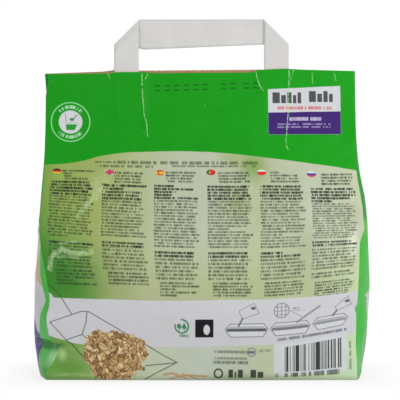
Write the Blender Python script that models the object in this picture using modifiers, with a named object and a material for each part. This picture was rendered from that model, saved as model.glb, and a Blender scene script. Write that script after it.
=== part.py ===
"""A filled litter sack: gusseted paper bag with a block bottom, a folded strip handle and a kraft patch.

The sack stands on its base at z = 0 with its centre over the origin. The panel with the handle's legs in front
faces -Y, and +X is to its right. All lengths are in metres.
"""

import math

import bmesh
import bpy
from mathutils import Vector

# Sack: the flat sizes of the paper tube and the shape that the filling gives it
PANEL_WIDTH = 0.260
BASE_DEPTH = 0.105
BAG_HEIGHT = 0.255
FILL_HEIGHT = 0.123
PANEL_BULGE = 0.022
SHOULDER_REACH = 0.0145
CREASE_PULL = 0.005
BASE_EDGE_RADIUS = 0.006

# Paper at the flat top: the wall on each side of the mouth, and the two plies that meet at a gusset's crease
TOP_WALL = 0.0010
CREASE_PLIES = 0.0010
CREASE_NOSE = 0.0004

# Handle: one folded strip, between the inner folds of the gussets
STRIP_WIDTH = 0.0206
STRIP_THICKNESS = 0.0007
STRIP_FOLD_RADIUS = 0.0009
HANDLE_RISE = 0.044
HANDLE_SHIFT = 0.0015
GUSSET_TO_HANDLE = 0.0045
LEG_DEPTH = 0.050

# Patch: the kraft sheet behind the legs
PATCH_THICKNESS = 0.0006
PATCH_LIP = 0.0020

# The gap between pieces that touch
CLEARANCE = 0.0003

# The sack's halves meet exactly in their plane, so only points this close are joined
WELD_DISTANCE = 0.000001

# Printed fields, as heights above the base
FOOT_TOP = 0.034
BAND_TOP = 0.069
MIDDLE_TOP = 0.181

# The strip's rows turn slantwise over this length before a fold, as a share of its width
SLANT_LENGTH = 1.5

# Order of the sack's materials
FIELD_EDGES = (FOOT_TOP, BAND_TOP, MIDDLE_TOP)
KRAFT_FIELD = len(FIELD_EDGES) + 1

# Mesh density
PANEL_STEPS = 20
GUSSET_STEPS = 7
ROW_STEP = 0.0085
BASE_EDGE_STEPS = 3
STRIP_STEPS = 4
FOLD_STEPS = 8
LEG_STEPS = 8
SPAN_STEPS = 14

# Derived sizes
HALF_WIDTH = PANEL_WIDTH / 2
HALF_DEPTH = BASE_DEPTH / 2
HANDLE_SPAN = PANEL_WIDTH - BASE_DEPTH - 2 * GUSSET_TO_HANDLE
MOUTH_THICKNESS = STRIP_THICKNESS + PATCH_THICKNESS + 3 * CLEARANCE
TOP_HALF_THICKNESS = MOUTH_THICKNESS / 2 + TOP_WALL
LEG_Y = -MOUTH_THICKNESS / 2 + CLEARANCE + STRIP_THICKNESS / 2
PATCH_Y = MOUTH_THICKNESS / 2 - CLEARANCE - PATCH_THICKNESS / 2
LEFT_LEG_X = HANDLE_SHIFT - (HANDLE_SPAN - STRIP_WIDTH) / 2
RIGHT_LEG_X = HANDLE_SHIFT + (HANDLE_SPAN - STRIP_WIDTH) / 2
HANDLE_FOOT_Z = BAG_HEIGHT - LEG_DEPTH
BAND_Z = BAG_HEIGHT + HANDLE_RISE - STRIP_WIDTH / 2

# How the sack's section changes from base to top. Each station has its height, first as a share of the fill
# height and above the fill as a share of the rest. Then come these shares: depth at the creases, bulge of the
# panels, pull of the creases towards the middle (outwards where it is below 0), reach of the gusset's shoulders
# past the flat width, and how far the gusset's fold has gone in behind them. A gusset's half stays about as long
# as the flat paper.
FILLED_STATIONS = (
    (0.00, 0.95, 0.08, 0.76, 0.22, 0.00),
    (0.22, 0.97, 0.50, 1.00, 0.64, 0.00),
    (0.50, 0.97, 0.95, 0.94, 0.70, 0.00),
    (0.78, 0.94, 1.00, 0.40, 0.88, 0.11),
    (1.00, 0.86, 0.80, -0.30, 1.00, 0.52),
)
EMPTY_STATIONS = (
    (0.20, 0.71, 0.50, -0.15, 0.83, 0.72),
    (0.40, 0.51, 0.26, 0.20, 0.60, 0.90),
    (0.60, 0.32, 0.11, 0.26, 0.36, 0.97),
    (0.80, 0.15, 0.03, 0.20, 0.06, 0.99),
    (1.00, 0.00, 0.00, 0.08, 0.00, 1.00),
)


def clear_scene():
    for obj in list(bpy.data.objects):
        bpy.data.objects.remove(obj, do_unlink=True)


def new_collection(name):
    collection = bpy.data.collections.new(name)
    bpy.context.scene.collection.children.link(collection)
    return collection


def new_material(name, colour, roughness):
    material = bpy.data.materials.new(name)
    material.use_nodes = True
    shader = material.node_tree.nodes["Principled BSDF"]
    shader.inputs["Base Color"].default_value = (*colour, 1.0)
    shader.inputs["Roughness"].default_value = roughness
    shader.inputs["Metallic"].default_value = 0.0
    material.diffuse_color = (*colour, 1.0)
    return material


def add_object(name, mesh, collection):
    obj = bpy.data.objects.new(name, mesh)
    collection.objects.link(obj)
    return obj


def box_mesh(name, low, high):
    """A box between two corners, with its place in the mesh."""
    bm = bmesh.new()
    bmesh.ops.create_cube(bm, size=1.0)
    for vert in bm.verts:
        for axis in range(3):
            middle = (low[axis] + high[axis]) / 2
            vert.co[axis] = middle + vert.co[axis] * (high[axis] - low[axis])
    mesh = bpy.data.meshes.new(name)
    bm.to_mesh(mesh)
    bm.free()
    return mesh


def stations():
    """The stations with their heights in metres."""
    rest = BAG_HEIGHT - FILL_HEIGHT
    filled = [(row[0] * FILL_HEIGHT, *row[1:]) for row in FILLED_STATIONS]
    empty = [(FILL_HEIGHT + row[0] * rest, *row[1:]) for row in EMPTY_STATIONS]
    return filled + empty


def shares_at(z):
    """The five shares at a height, on a smooth curve through the stations."""
    rows = stations()
    last = len(rows) - 1
    i = 0
    while i < last - 1 and z > rows[i + 1][0]:
        i += 1
    before, low, high, after = rows[max(i - 1, 0)], rows[i], rows[i + 1], rows[min(i + 2, last)]
    gap = high[0] - low[0]
    t = (z - low[0]) / gap
    found = []
    for k in range(1, len(low)):
        slope_low = (high[k] - before[k]) / (high[0] - before[0]) * gap
        slope_high = (after[k] - low[k]) / (after[0] - low[0]) * gap
        value = (
            (2 * t**3 - 3 * t**2 + 1) * low[k]
            + (t**3 - 2 * t**2 + t) * slope_low
            + (3 * t**2 - 2 * t**3) * high[k]
            + (t**3 - t**2) * slope_high
        )
        found.append(value)
    return found


def base_inset(z):
    """How far the rounded base edge stands back at a height."""
    if z >= BASE_EDGE_RADIUS:
        return 0.0
    return BASE_EDGE_RADIUS - math.sqrt(BASE_EDGE_RADIUS**2 - (BASE_EDGE_RADIUS - z) ** 2)


def gusset_half(crease, shoulder, fold):
    """Points from a crease to the gusset's middle fold, on a curve that leaves towards the shoulder."""
    points = []
    for i in range(GUSSET_STEPS + 1):
        t = i / GUSSET_STEPS
        x = (1 - t) ** 2 * crease[0] + 2 * t * (1 - t) * shoulder[0] + t**2 * fold[0]
        y = (1 - t) ** 2 * crease[1] + 2 * t * (1 - t) * shoulder[1] + t**2 * fold[1]
        points.append((x, y))
    return points


def near_section(z):
    """The near half of the section at a height, from the left gusset's middle fold to the right one's."""
    depth, panel, pull, reach, folded = shares_at(z)
    inset = base_inset(z)
    crease_x = HALF_WIDTH - CREASE_PULL * pull - inset
    crease_y = TOP_HALF_THICKNESS + (HALF_DEPTH - TOP_HALF_THICKNESS) * depth - inset
    shoulder_x = HALF_WIDTH + SHOULDER_REACH * reach - inset
    fold_x = shoulder_x - HALF_DEPTH * folded
    start_y = -crease_y + CREASE_PLIES
    right = gusset_half((crease_x, start_y), (shoulder_x, start_y / 2), (fold_x, 0.0))
    nose = [(crease_x + CREASE_NOSE, -crease_y + CREASE_PLIES / 2)]
    front = []
    for i in range(PANEL_STEPS + 1):
        across = 2 * i / PANEL_STEPS - 1
        front.append((crease_x * across, -crease_y - PANEL_BULGE * panel * (1 - across**2)))
    mirrored = [(-x, y) for x, y in nose + right]
    return mirrored[::-1] + front + nose + right


def row_heights():
    """Heights of the rows: close together round the base edge, and one on each edge of a printed field."""
    turns = [math.pi / 2 * i / BASE_EDGE_STEPS for i in range(BASE_EDGE_STEPS)]
    edge = [BASE_EDGE_RADIUS * (1 - math.cos(turn)) for turn in turns]
    stops = [BASE_EDGE_RADIUS, FOOT_TOP, BAND_TOP, MIDDLE_TOP, BAG_HEIGHT]
    heights = edge + [BASE_EDGE_RADIUS]
    for low, high in zip(stops, stops[1:]):
        count = max(1, round((high - low) / ROW_STEP))
        heights += [low + (high - low) * i / count for i in range(1, count + 1)]
    return heights


def sack_half_mesh():
    """The sack in front of the plane y = 0, open along that plane."""
    bm = bmesh.new()
    rows = []
    for z in row_heights():
        rows.append([bm.verts.new((x, y, z)) for x, y in near_section(z)])
    for low, high in zip(rows, rows[1:]):
        for i in range(len(low) - 1):
            bm.faces.new((low[i], low[i + 1], high[i + 1], high[i]))
    bm.faces.new(rows[0][::-1])
    bm.faces.new(rows[-1])
    mesh = bpy.data.meshes.new("bag")
    bm.to_mesh(mesh)
    bm.free()
    return mesh


def paint_fields(mesh):
    """Gives each face the printed field at its height: foot, band, middle, top, and bare kraft on the mouth."""
    for face in mesh.polygons:
        z = face.center.z
        field = sum(z > edge for edge in FIELD_EDGES)
        face.material_index = KRAFT_FIELD if z > BAG_HEIGHT - CLEARANCE else field


def make_bag(parts, cutters):
    mesh = sack_half_mesh()
    for name, colour, roughness in (
        ("print_foot", (0.42, 0.55, 0.22), 0.42),
        ("print_band", (0.62, 0.63, 0.64), 0.42),
        ("print_middle", (0.34, 0.47, 0.20), 0.42),
        ("print_top", (0.018, 0.30, 0.022), 0.40),
        ("bare_kraft", (0.38, 0.21, 0.10), 0.80),
    ):
        mesh.materials.append(new_material(name, colour, roughness))
    paint_fields(mesh)
    bag = add_object("bag", mesh, parts)

    mirror = bag.modifiers.new("far half", "MIRROR")
    mirror.use_axis = (False, True, False)
    mirror.use_mirror_merge = True
    mirror.merge_threshold = WELD_DISTANCE

    half_mouth = HANDLE_SPAN / 2 + CLEARANCE
    mouth = add_object(
        "mouth_cutter",
        box_mesh(
            "mouth_cutter",
            (HANDLE_SHIFT - half_mouth, -MOUTH_THICKNESS / 2, HANDLE_FOOT_Z - CLEARANCE),
            (HANDLE_SHIFT + half_mouth, MOUTH_THICKNESS / 2, BAG_HEIGHT + PATCH_LIP),
        ),
        cutters,
    )
    mouth.hide_render = True
    mouth.display_type = "WIRE"
    cut = bag.modifiers.new("mouth", "BOOLEAN")
    cut.operation = "DIFFERENCE"
    cut.object = mouth
    return bag


def fold_over(point, corner, along, across, radius):
    """Folds the part of a flat sheet past a line by half a turn, round a bend of this radius.

    The line runs through corner in the direction along, and across points to the side that is folded. The sheet
    lies in the XZ plane and folds towards +Y.
    """
    from_corner = point - corner
    past = from_corner.dot(across)
    if past <= 0:
        return point.copy()
    lift = point.y - corner.y
    bend = math.pi * radius
    if past < bend:
        turn = past / radius
        reach = (radius - lift) * math.sin(turn)
        height = radius - (radius - lift) * math.cos(turn)
    else:
        reach = bend - past
        height = 2 * radius - lift
    place = corner + along * from_corner.dot(along) + across * reach
    return Vector((place.x, corner.y + height, place.z))


def strip_rows(first_corner, second_corner, end):
    """The strip's cross rows before it is folded, each as a length along it and a slant.

    Rows lie square at both ends and turn with the strip until they are parallel to the fold that they reach.
    """
    slant_length = SLANT_LENGTH * STRIP_WIDTH
    bend = math.sqrt(2) * math.pi * STRIP_FOLD_RADIUS
    rows = []
    for i in range(LEG_STEPS):
        s = HANDLE_FOOT_Z + (first_corner - HANDLE_FOOT_Z) * i / LEG_STEPS
        rows.append((s, max(0.0, 1 - (first_corner - s) / slant_length)))
    for i in range(FOLD_STEPS):
        rows.append((first_corner + bend * i / FOLD_STEPS, 1.0))
    start = first_corner + bend
    for i in range(SPAN_STEPS):
        share = i / SPAN_STEPS
        rows.append((start + (second_corner - start) * share, 1 - 2 * share))
    for i in range(FOLD_STEPS):
        rows.append((second_corner + bend * i / FOLD_STEPS, -1.0))
    start = second_corner + bend
    for i in range(LEG_STEPS + 1):
        s = start + (end - start) * i / LEG_STEPS
        rows.append((s, -max(0.0, 1 - (s - start) / slant_length)))
    return rows


def make_handle(parts):
    """The strip goes up from the mouth, folds back into the level band, and folds forward and down again."""
    diagonal = 1 / math.sqrt(2)
    bend = math.pi * STRIP_FOLD_RADIUS
    first_z = BAND_Z - bend * diagonal
    second_z = first_z + RIGHT_LEG_X - LEFT_LEG_X
    end_z = second_z + first_z + 2 * bend * diagonal - HANDLE_FOOT_Z
    first = Vector((LEFT_LEG_X, LEG_Y, first_z))
    second = Vector((LEFT_LEG_X, LEG_Y, second_z))
    rising = Vector((diagonal, 0.0, diagonal))
    falling = Vector((-diagonal, 0.0, diagonal))

    bm = bmesh.new()
    rows = []
    for s, slant in strip_rows(first_z, second_z, end_z):
        row = []
        for i in range(STRIP_STEPS + 1):
            v = STRIP_WIDTH * (i / STRIP_STEPS - 0.5)
            point = Vector((LEFT_LEG_X + v, LEG_Y, s + slant * v))
            point = fold_over(point, second, falling, rising, STRIP_FOLD_RADIUS)
            point = fold_over(point, first, rising, falling, STRIP_FOLD_RADIUS)
            row.append(bm.verts.new(point))
        rows.append(row)
    for low, high in zip(rows, rows[1:]):
        for i in range(STRIP_STEPS):
            bm.faces.new((low[i], low[i + 1], high[i + 1], high[i]))
    mesh = bpy.data.meshes.new("handle")
    bm.to_mesh(mesh)
    bm.free()
    mesh.shade_smooth()
    mesh.materials.append(new_material("strip_paper", (0.64, 0.62, 0.60), 0.65))
    handle = add_object("handle", mesh, parts)
    ply = handle.modifiers.new("paper", "SOLIDIFY")
    ply.thickness = STRIP_THICKNESS
    ply.offset = 0.0
    ply.use_even_offset = True
    return handle


def make_patch(parts):
    """The kraft sheet fills the mouth behind the legs and stands a little above it."""
    mesh = box_mesh(
        "handle_patch",
        (HANDLE_SHIFT - HANDLE_SPAN / 2, PATCH_Y - PATCH_THICKNESS / 2, HANDLE_FOOT_Z),
        (HANDLE_SHIFT + HANDLE_SPAN / 2, PATCH_Y + PATCH_THICKNESS / 2, BAG_HEIGHT + PATCH_LIP),
    )
    mesh.materials.append(new_material("kraft_paper", (0.38, 0.21, 0.10), 0.80))
    return add_object("handle_patch", mesh, parts)


def main():
    clear_scene()
    parts = new_collection("litter_sack")
    cutters = new_collection("cutters")
    make_bag(parts, cutters)
    make_handle(parts)
    make_patch(parts)


main()
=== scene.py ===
"""Looks of the litter sack: creased printed paper, a folded strip handle and kraft in the mouth.

The sack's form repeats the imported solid's. Its creases, outline and dents follow pixel positions, which are
(x, y) in the photograph's frame of 400 by 400, y down. The print has coordinates of its own: the same pixels
with the panel's wavy sides and bent rows made straight by on_print.
"""

import math

import bmesh
import bpy
import numpy as np
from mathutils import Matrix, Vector, noise


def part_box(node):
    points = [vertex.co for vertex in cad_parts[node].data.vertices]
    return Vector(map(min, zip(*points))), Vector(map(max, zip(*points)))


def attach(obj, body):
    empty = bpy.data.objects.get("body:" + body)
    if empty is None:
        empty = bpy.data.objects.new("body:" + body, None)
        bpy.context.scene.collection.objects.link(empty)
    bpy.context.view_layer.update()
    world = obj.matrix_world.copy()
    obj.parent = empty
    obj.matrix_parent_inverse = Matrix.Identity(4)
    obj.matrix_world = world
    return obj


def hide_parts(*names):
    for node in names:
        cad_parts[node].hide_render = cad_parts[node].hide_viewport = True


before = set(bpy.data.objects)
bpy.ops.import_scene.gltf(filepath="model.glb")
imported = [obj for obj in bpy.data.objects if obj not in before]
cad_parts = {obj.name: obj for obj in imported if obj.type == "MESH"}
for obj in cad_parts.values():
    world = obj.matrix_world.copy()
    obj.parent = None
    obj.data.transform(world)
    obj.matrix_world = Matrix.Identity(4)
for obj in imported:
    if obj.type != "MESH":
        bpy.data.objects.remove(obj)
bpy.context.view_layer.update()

# Camera: level with the sack's middle, and one pixel of the photograph covers PIXEL in the plane y = 0
PHOTO = 400
PIXEL = 0.000841
CAMERA_DISTANCE = 1.5
CAMERA_HEIGHT = 0.185
AIM_X = 0.0
AIM_Z = 0.1462
SENSOR = 36.0

# Sizes of the sack: its height and the boxes of the handle and sheet from its imported solid, the rest given
_, BAG_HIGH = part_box("bag")
HANDLE_LOW, HANDLE_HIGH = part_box("handle")
PATCH_LOW, PATCH_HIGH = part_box("handle_patch")
HEIGHT = BAG_HIGH.z
HALF_WIDTH = 0.130
HALF_DEPTH = 0.0525
FILL_HEIGHT = 0.123
PANEL_BULGE = 0.022
SHOULDER_REACH = 0.0145
CREASE_PULL = 0.005
BASE_EDGE_RADIUS = 0.006
TOP_HALF_THICKNESS = 0.0021
CREASE_PLIES = 0.0010
CREASE_NOSE = 0.0004
MOUTH_HALF = 0.0011
MOUTH_DEPTH = 0.010
MOUTH_MARGIN = 0.0004
SHARP_DEGREES = 50

# Handle, which leans a little to the left of the solid's strip and sits lower
STRIP_WIDTH = 0.0206
STRIP_THICKNESS = 0.0005
LEG_Y = -0.00045
LEFT_LEG_STEP = -0.0004
RIGHT_LEG_STEP = -0.0002
HANDLE_SINK = 0.0013
BAND_DROOP = 0.0052
BAND_DROOP_RUN = 0.014

# Mesh density: columns round the sack and rows up it
PANEL_STEPS = 168
FAR_STEPS = 80
GUSSET_STEPS = 30
ROWS = 240

# The sack's stations, as in the solid: height share, crease depth, panel bulge, crease pull, reach, fold
FILLED_STATIONS = (
    (0.00, 0.95, 0.08, 0.76, 0.22, 0.00),
    (0.22, 0.97, 0.50, 1.00, 0.64, 0.00),
    (0.50, 0.97, 0.95, 0.94, 0.70, 0.00),
    (0.78, 0.94, 1.00, 0.40, 0.88, 0.11),
    (1.00, 0.86, 0.80, -0.30, 1.00, 0.52),
)
EMPTY_STATIONS = (
    (0.20, 0.71, 0.50, -0.15, 0.83, 0.72),
    (0.40, 0.51, 0.26, 0.20, 0.60, 0.90),
    (0.60, 0.32, 0.11, 0.26, 0.36, 0.97),
    (0.80, 0.15, 0.03, 0.20, 0.06, 0.99),
    (1.00, 0.00, 0.00, 0.08, 0.00, 1.00),
)

# The near panel's creases in the photograph, as (pixel y, pixel x)
LEFT_CREASE = (
    (73, 48.2), (85, 48.4), (95, 46.2), (120, 46.0), (150, 45.3), (170, 44.2), (192, 42.4), (207, 41.3),
    (229, 39.5), (240, 40.5), (252, 41.6), (262, 43.4), (270, 45.3), (282, 46.9), (292, 49.1), (300, 50.0),
    (306, 49.3), (315, 47.1), (321, 46.8), (333, 48.1), (340, 50.5), (346, 57.5), (350, 58.5), (356, 56.0),
    (363, 52.6), (367, 48.6), (373, 46.0), (380, 46.5),
)
RIGHT_CREASE = (
    (73, 354.5), (120, 355.2), (150, 355.9), (170, 356.4), (181, 357.7), (197, 360.9), (208, 362.5),
    (229, 364.0), (237, 361.5), (244, 359.7), (264, 359.6), (286, 358.2), (304, 357.3), (309, 354.6),
    (313, 356.0), (349, 356.2), (362, 357.1), (378, 357.3),
)

# The sack's outline in the photograph, down each side
LEFT_OUTLINE = (
    (73, 45.0), (96, 45.8), (120, 45.8), (154, 45.3), (176, 43.7), (204, 41.2), (229, 39.1), (243, 37.8),
    (264, 36.3), (274, 35.1), (295, 34.6), (330, 34.2), (345, 35.2), (352, 36.2), (366, 38.2), (374, 40.2),
    (378, 42.4), (380, 46),
)
RIGHT_OUTLINE = (
    (73, 354.8), (120, 355.6), (140, 356.5), (146, 357.1), (161, 358.7), (173, 360.6), (185, 362.8),
    (196, 365.1), (208, 366.3), (223, 367.6), (243, 368.2), (274, 369.4), (286, 369.9), (301, 368.8),
    (330, 366.9), (343, 365.7), (355, 363.8), (368, 361.5), (375, 360.0), (378, 357.8),
)

# Where the light green strip down each gusset ends
LEFT_RIBBON = (
    (234, 40.3), (243, 41.0), (249, 40.0), (258, 39.4), (265, 39.7), (276, 40.3), (283, 41.8), (290, 43.4),
    (298, 45.2), (301, 45.9), (305, 44.1), (310, 41.8), (314, 40.5), (321, 39.6), (327, 39.3), (334, 39.7),
    (339, 40.5), (342, 41.4), (343.4, 43.3), (353, 39.3), (360, 38.0), (366, 38.0),
)
RIGHT_RIBBON = ((73, 380), (288, 380), (290, 369.5), (295, 364.8), (301, 368.6), (303, 380), (380, 380))
RIBBON_REACH = 0.030
ON_RIBBON = 0.6

# The print's straight frame: sides at U 45 and 355, and the rows' droop at the left and rise at the right
PRINT_LEFT = (
    (70, 45.5), (120, 46.0), (150, 45.0), (192, 42.0), (230, 39.5), (262, 42.5), (300, 47.0), (340, 48.0),
    (380, 46.0),
)
PRINT_RIGHT = (
    (70, 354.5), (120, 355.5), (150, 356.0), (170, 357.0), (192, 360.0), (226, 363.0), (260, 361.0),
    (300, 358.0), (340, 356.5), (380, 357.0),
)
PRINT_MIDDLE = 200.0
PRINT_HALF = 155.0
DROOP = ((165, 2), (185, 6), (200, 8), (240, 8), (270, 5), (300, 4), (330, 8), (345, 10), (372, 2), (380, 0))
DROOP_START, DROOP_RUN, DROOP_POWER = 200.0, 150.0, 1.5
RISE = (
    (200, 0), (232, 1.5), (250, 5), (270, 8), (300, 10), (330, 14), (345, 15.5), (360, 10), (372, 5),
    (380, 2),
)
RISE_START, RISE_RUN, RISE_POWER = 262.0, 94.0, 1.4

# The top edges in the photograph, as (pixel x, pixel y): the near panel's, and the far panel's behind it
NEAR_TOP = (
    (45, 74.3), (107, 73.6), (112, 72.6), (117, 72.2), (141, 72.2), (152, 73.3), (200, 73.0), (251, 72.6),
    (256, 70.4), (265, 69.6), (285, 68.8), (300, 69.7), (354, 71.1),
)
FAR_TOP = (
    (45, 73.6), (100, 71.6), (108, 71.0), (116, 69.6), (122, 71.0), (150, 71.0), (252, 70.2), (265, 70.0),
    (300, 70.4), (354, 71.6),
)
TOP_BLEND = 0.05

# Share of a gusset's near half, from the crease, over which a row's shift changes to the outline's
FULL_SHIFT_AT = 0.3


def make_camera():
    data = bpy.data.cameras.new("camera")
    data.sensor_width = SENSOR
    data.lens = SENSOR * CAMERA_DISTANCE / (PHOTO * PIXEL)
    camera = bpy.data.objects.new("camera", data)
    bpy.context.scene.collection.objects.link(camera)
    camera.location = (AIM_X, -CAMERA_DISTANCE, CAMERA_HEIGHT)
    aim = Vector((AIM_X, 0.0, AIM_Z)) - camera.location
    camera.rotation_euler = aim.to_track_quat("-Z", "Y").to_euler()
    bpy.context.scene.camera = camera


def to_pixels(points):
    """Pixels at which points of the sack show in the photograph."""
    place = np.array([AIM_X, -CAMERA_DISTANCE, CAMERA_HEIGHT])
    ahead = np.array([AIM_X, 0.0, AIM_Z]) - place
    ahead = ahead / np.linalg.norm(ahead)
    right = np.array([1.0, 0.0, 0.0])
    up = np.cross(right, ahead)
    offset = points - place
    focal = CAMERA_DISTANCE / PIXEL
    depth = offset @ ahead
    px = PHOTO / 2 + focal * (offset @ right) / depth
    py = PHOTO / 2 - focal * (offset @ up) / depth
    return np.stack([px, py], axis=-1)


TOP_PIXEL = float(to_pixels(np.array([0.0, 0.0, HEIGHT]))[1])


def smooth(value, start, end):
    """0 before start, 1 after end, and smooth between."""
    t = np.clip((value - start) / (end - start), 0.0, 1.0)
    return t * t * (3 - 2 * t)


def read(table, value):
    """A table's value, straight between its points."""
    return np.interp(value, *zip(*table))


def on_print(x, y):
    """Print coordinates of pixels of the photograph."""
    left, right = read(PRINT_LEFT, y), read(PRINT_RIGHT, y)
    u = PRINT_MIDDLE + PRINT_HALF * (2 * x - left - right) / (right - left)
    droop = read(DROOP, y) * np.clip((DROOP_START - x) / DROOP_RUN, 0.0, None) ** DROOP_POWER
    rise = read(RISE, y) * np.clip((x - RISE_START) / RISE_RUN, 0.0, None) ** RISE_POWER
    return u, y + droop + rise


def spot(x, y):
    """Print coordinates of one pixel of the photograph."""
    u, v = on_print(float(x), float(y))
    return float(u), float(v)


def spots(line):
    return tuple(spot(x, y) for x, y in line)


def shares_at(z):
    """The stations' shares at each height, on the solid's smooth curve."""
    rest = HEIGHT - FILL_HEIGHT
    rows = [(r[0] * FILL_HEIGHT, *r[1:]) for r in FILLED_STATIONS]
    rows += [(FILL_HEIGHT + r[0] * rest, *r[1:]) for r in EMPTY_STATIONS]
    rows = np.array(rows)
    last = len(rows) - 1
    found = np.empty((len(z), rows.shape[1] - 1))
    for n, height in enumerate(z):
        i = int(np.clip(np.searchsorted(rows[:, 0], height, side="left") - 1, 0, last - 1))
        before, low, high, after = rows[max(i - 1, 0)], rows[i], rows[i + 1], rows[min(i + 2, last)]
        gap = high[0] - low[0]
        t = (height - low[0]) / gap
        slope_low = (high - before) / (high[0] - before[0]) * gap
        slope_high = (after - low) / (after[0] - low[0]) * gap
        value = (
            (2 * t**3 - 3 * t**2 + 1) * low
            + (t**3 - 2 * t**2 + t) * slope_low
            + (3 * t**2 - 2 * t**3) * high
            + (t**3 - t**2) * slope_high
        )
        found[n] = value[1:]
    return found.T


def row_heights():
    """Rows up the sack, closer together round the base edge."""
    edge_rows = 8
    turns = np.linspace(0.0, math.pi / 2, edge_rows + 1)
    edge = BASE_EDGE_RADIUS * (1 - np.cos(turns))
    return np.concatenate([edge, np.linspace(BASE_EDGE_RADIUS, HEIGHT, ROWS - edge_rows)[1:]])


def loop_of(z):
    """The sack's loop at every height as arrays of x and y, with the index ranges of its parts."""
    depth, panel, pull, reach, folded = shares_at(z)
    lift = np.clip(BASE_EDGE_RADIUS - z, 0.0, None)
    inset = BASE_EDGE_RADIUS - np.sqrt(BASE_EDGE_RADIUS**2 - lift**2)
    crease_x = HALF_WIDTH - CREASE_PULL * pull - inset
    crease_y = TOP_HALF_THICKNESS + (HALF_DEPTH - TOP_HALF_THICKNESS) * depth - inset
    shoulder_x = HALF_WIDTH + SHOULDER_REACH * reach - inset
    fold_x = shoulder_x - HALF_DEPTH * folded
    start_y = -crease_y + CREASE_PLIES

    def gusset(t):
        weight = ((1 - t) ** 2, 2 * t * (1 - t), t**2)
        x = np.outer(crease_x, weight[0]) + np.outer(shoulder_x, weight[1]) + np.outer(fold_x, weight[2])
        y = np.outer(start_y, weight[0]) + np.outer(start_y / 2, weight[1])
        return x, y

    def panel_line(steps):
        across = np.linspace(-1.0, 1.0, steps + 1)
        x = np.outer(crease_x, across)
        y = -crease_y[:, None] - PANEL_BULGE * np.outer(panel, 1 - across**2)
        return x, y

    gx, gy = gusset(np.linspace(0.0, 1.0, GUSSET_STEPS + 1))
    nx, ny = (crease_x + CREASE_NOSE)[:, None], (-crease_y + CREASE_PLIES / 2)[:, None]
    px, py = panel_line(PANEL_STEPS)
    fx, fy = panel_line(FAR_STEPS)
    back = slice(None, None, -1)
    pieces = [
        ("left_near", -gx[:, back], gy[:, back]),
        ("left_nose", -nx, ny),
        ("near", px, py),
        ("right_nose", nx, ny),
        ("right_near", gx, gy),
        ("right_far", gx[:, back][:, 1:], -gy[:, back][:, 1:]),
        ("right_far_nose", nx, -ny),
        ("far", fx[:, back], -fy[:, back]),
        ("left_far_nose", -nx, -ny),
        ("left_far", -gx[:, :-1], -gy[:, :-1]),
    ]
    parts, at = {}, 0
    for name, x, _ in pieces:
        parts[name] = slice(at, at + x.shape[1])
        at += x.shape[1]
    return np.hstack([p[1] for p in pieces]), np.hstack([p[2] for p in pieces]), parts


def lumps(points, scale, seed):
    """Smooth noise over the sack's surface, about -1 to 1."""
    flat = points.reshape(-1, 3) / scale + seed
    values = np.array([noise.noise(Vector(p)) for p in flat])
    return values.reshape(points.shape[:-1]) * 1.6


def bump_at(value, centre, width):
    return np.exp(-(((value - centre) / width) ** 2))


def raise_top_edges(points):
    """The top edges rise and dip, the near panel's apart from the far one's."""
    blend = smooth(points[..., 2], HEIGHT - TOP_BLEND, HEIGHT)
    top = points[-1]
    top_px = to_pixels(top)[:, 0]
    near_rise = (TOP_PIXEL - read(NEAR_TOP, top_px)) * PIXEL
    far_rise = (TOP_PIXEL - read(FAR_TOP, top_px)) * PIXEL
    nearness = np.clip(0.5 - top[:, 1] / (2 * TOP_HALF_THICKNESS), 0.0, 1.0)
    points[..., 2] += blend * (near_rise * nearness + far_rise * (1 - nearness))


def dent_gussets(points, parts):
    """Lumps of the filling and the folds that cross the gussets."""
    fade_base = smooth(points[..., 2], 0.001, 0.007)
    for side, way in (("left", -1.0), ("right", 1.0)):
        for name in (side + "_near", side + "_far"):
            band = points[:, parts[name]]
            level = band[..., 2]
            near = smooth(-band[..., 1], -0.010, 0.010)
            full = smooth(level, 0.150, 0.115)
            crease = smooth(np.abs(band[..., 1]), HALF_DEPTH, HALF_DEPTH - 0.014)
            shift = lumps(band, 0.026, 40.0 + way) * 0.0011 + lumps(band, 0.010, 60.0 + way) * 0.0003
            shift *= full * crease
            if way > 0:
                # a deep notch on the middle fold, a swelling over it, and a fold that slants across below it
                shift -= 0.0030 * bump_at(level, 0.070, 0.0032) * bump_at(band[..., 1], 0.0, 0.022)
                shift += 0.0010 * bump_at(level, 0.082, 0.006)
                shift -= 0.0014 * bump_at(level - 0.12 * (band[..., 1] + 0.04), 0.0612, 0.0016) * crease
            else:
                # a fold over the bulge at the foot, the bulge, a fold at the fill's top and one that slants
                shift -= 0.0026 * bump_at(level, 0.0310, 0.0016) * near
                shift += 0.0014 * bump_at(level, 0.0195, 0.0080) * near
                shift -= 0.0014 * bump_at(level, 0.127, 0.0020) * full * near
                shift -= 0.0012 * bump_at(level + 0.5 * (band[..., 1] + 0.03), 0.066, 0.0030) * near
            points[:, parts[name], 0] += way * shift * fade_base[:, parts[name]]


def steady(values):
    """Values down the rows, averaged with their neighbours."""
    padded = np.pad(values, 1, mode="edge")
    return (padded[:-2] + 2 * padded[1:-1] + padded[2:]) / 4


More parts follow.
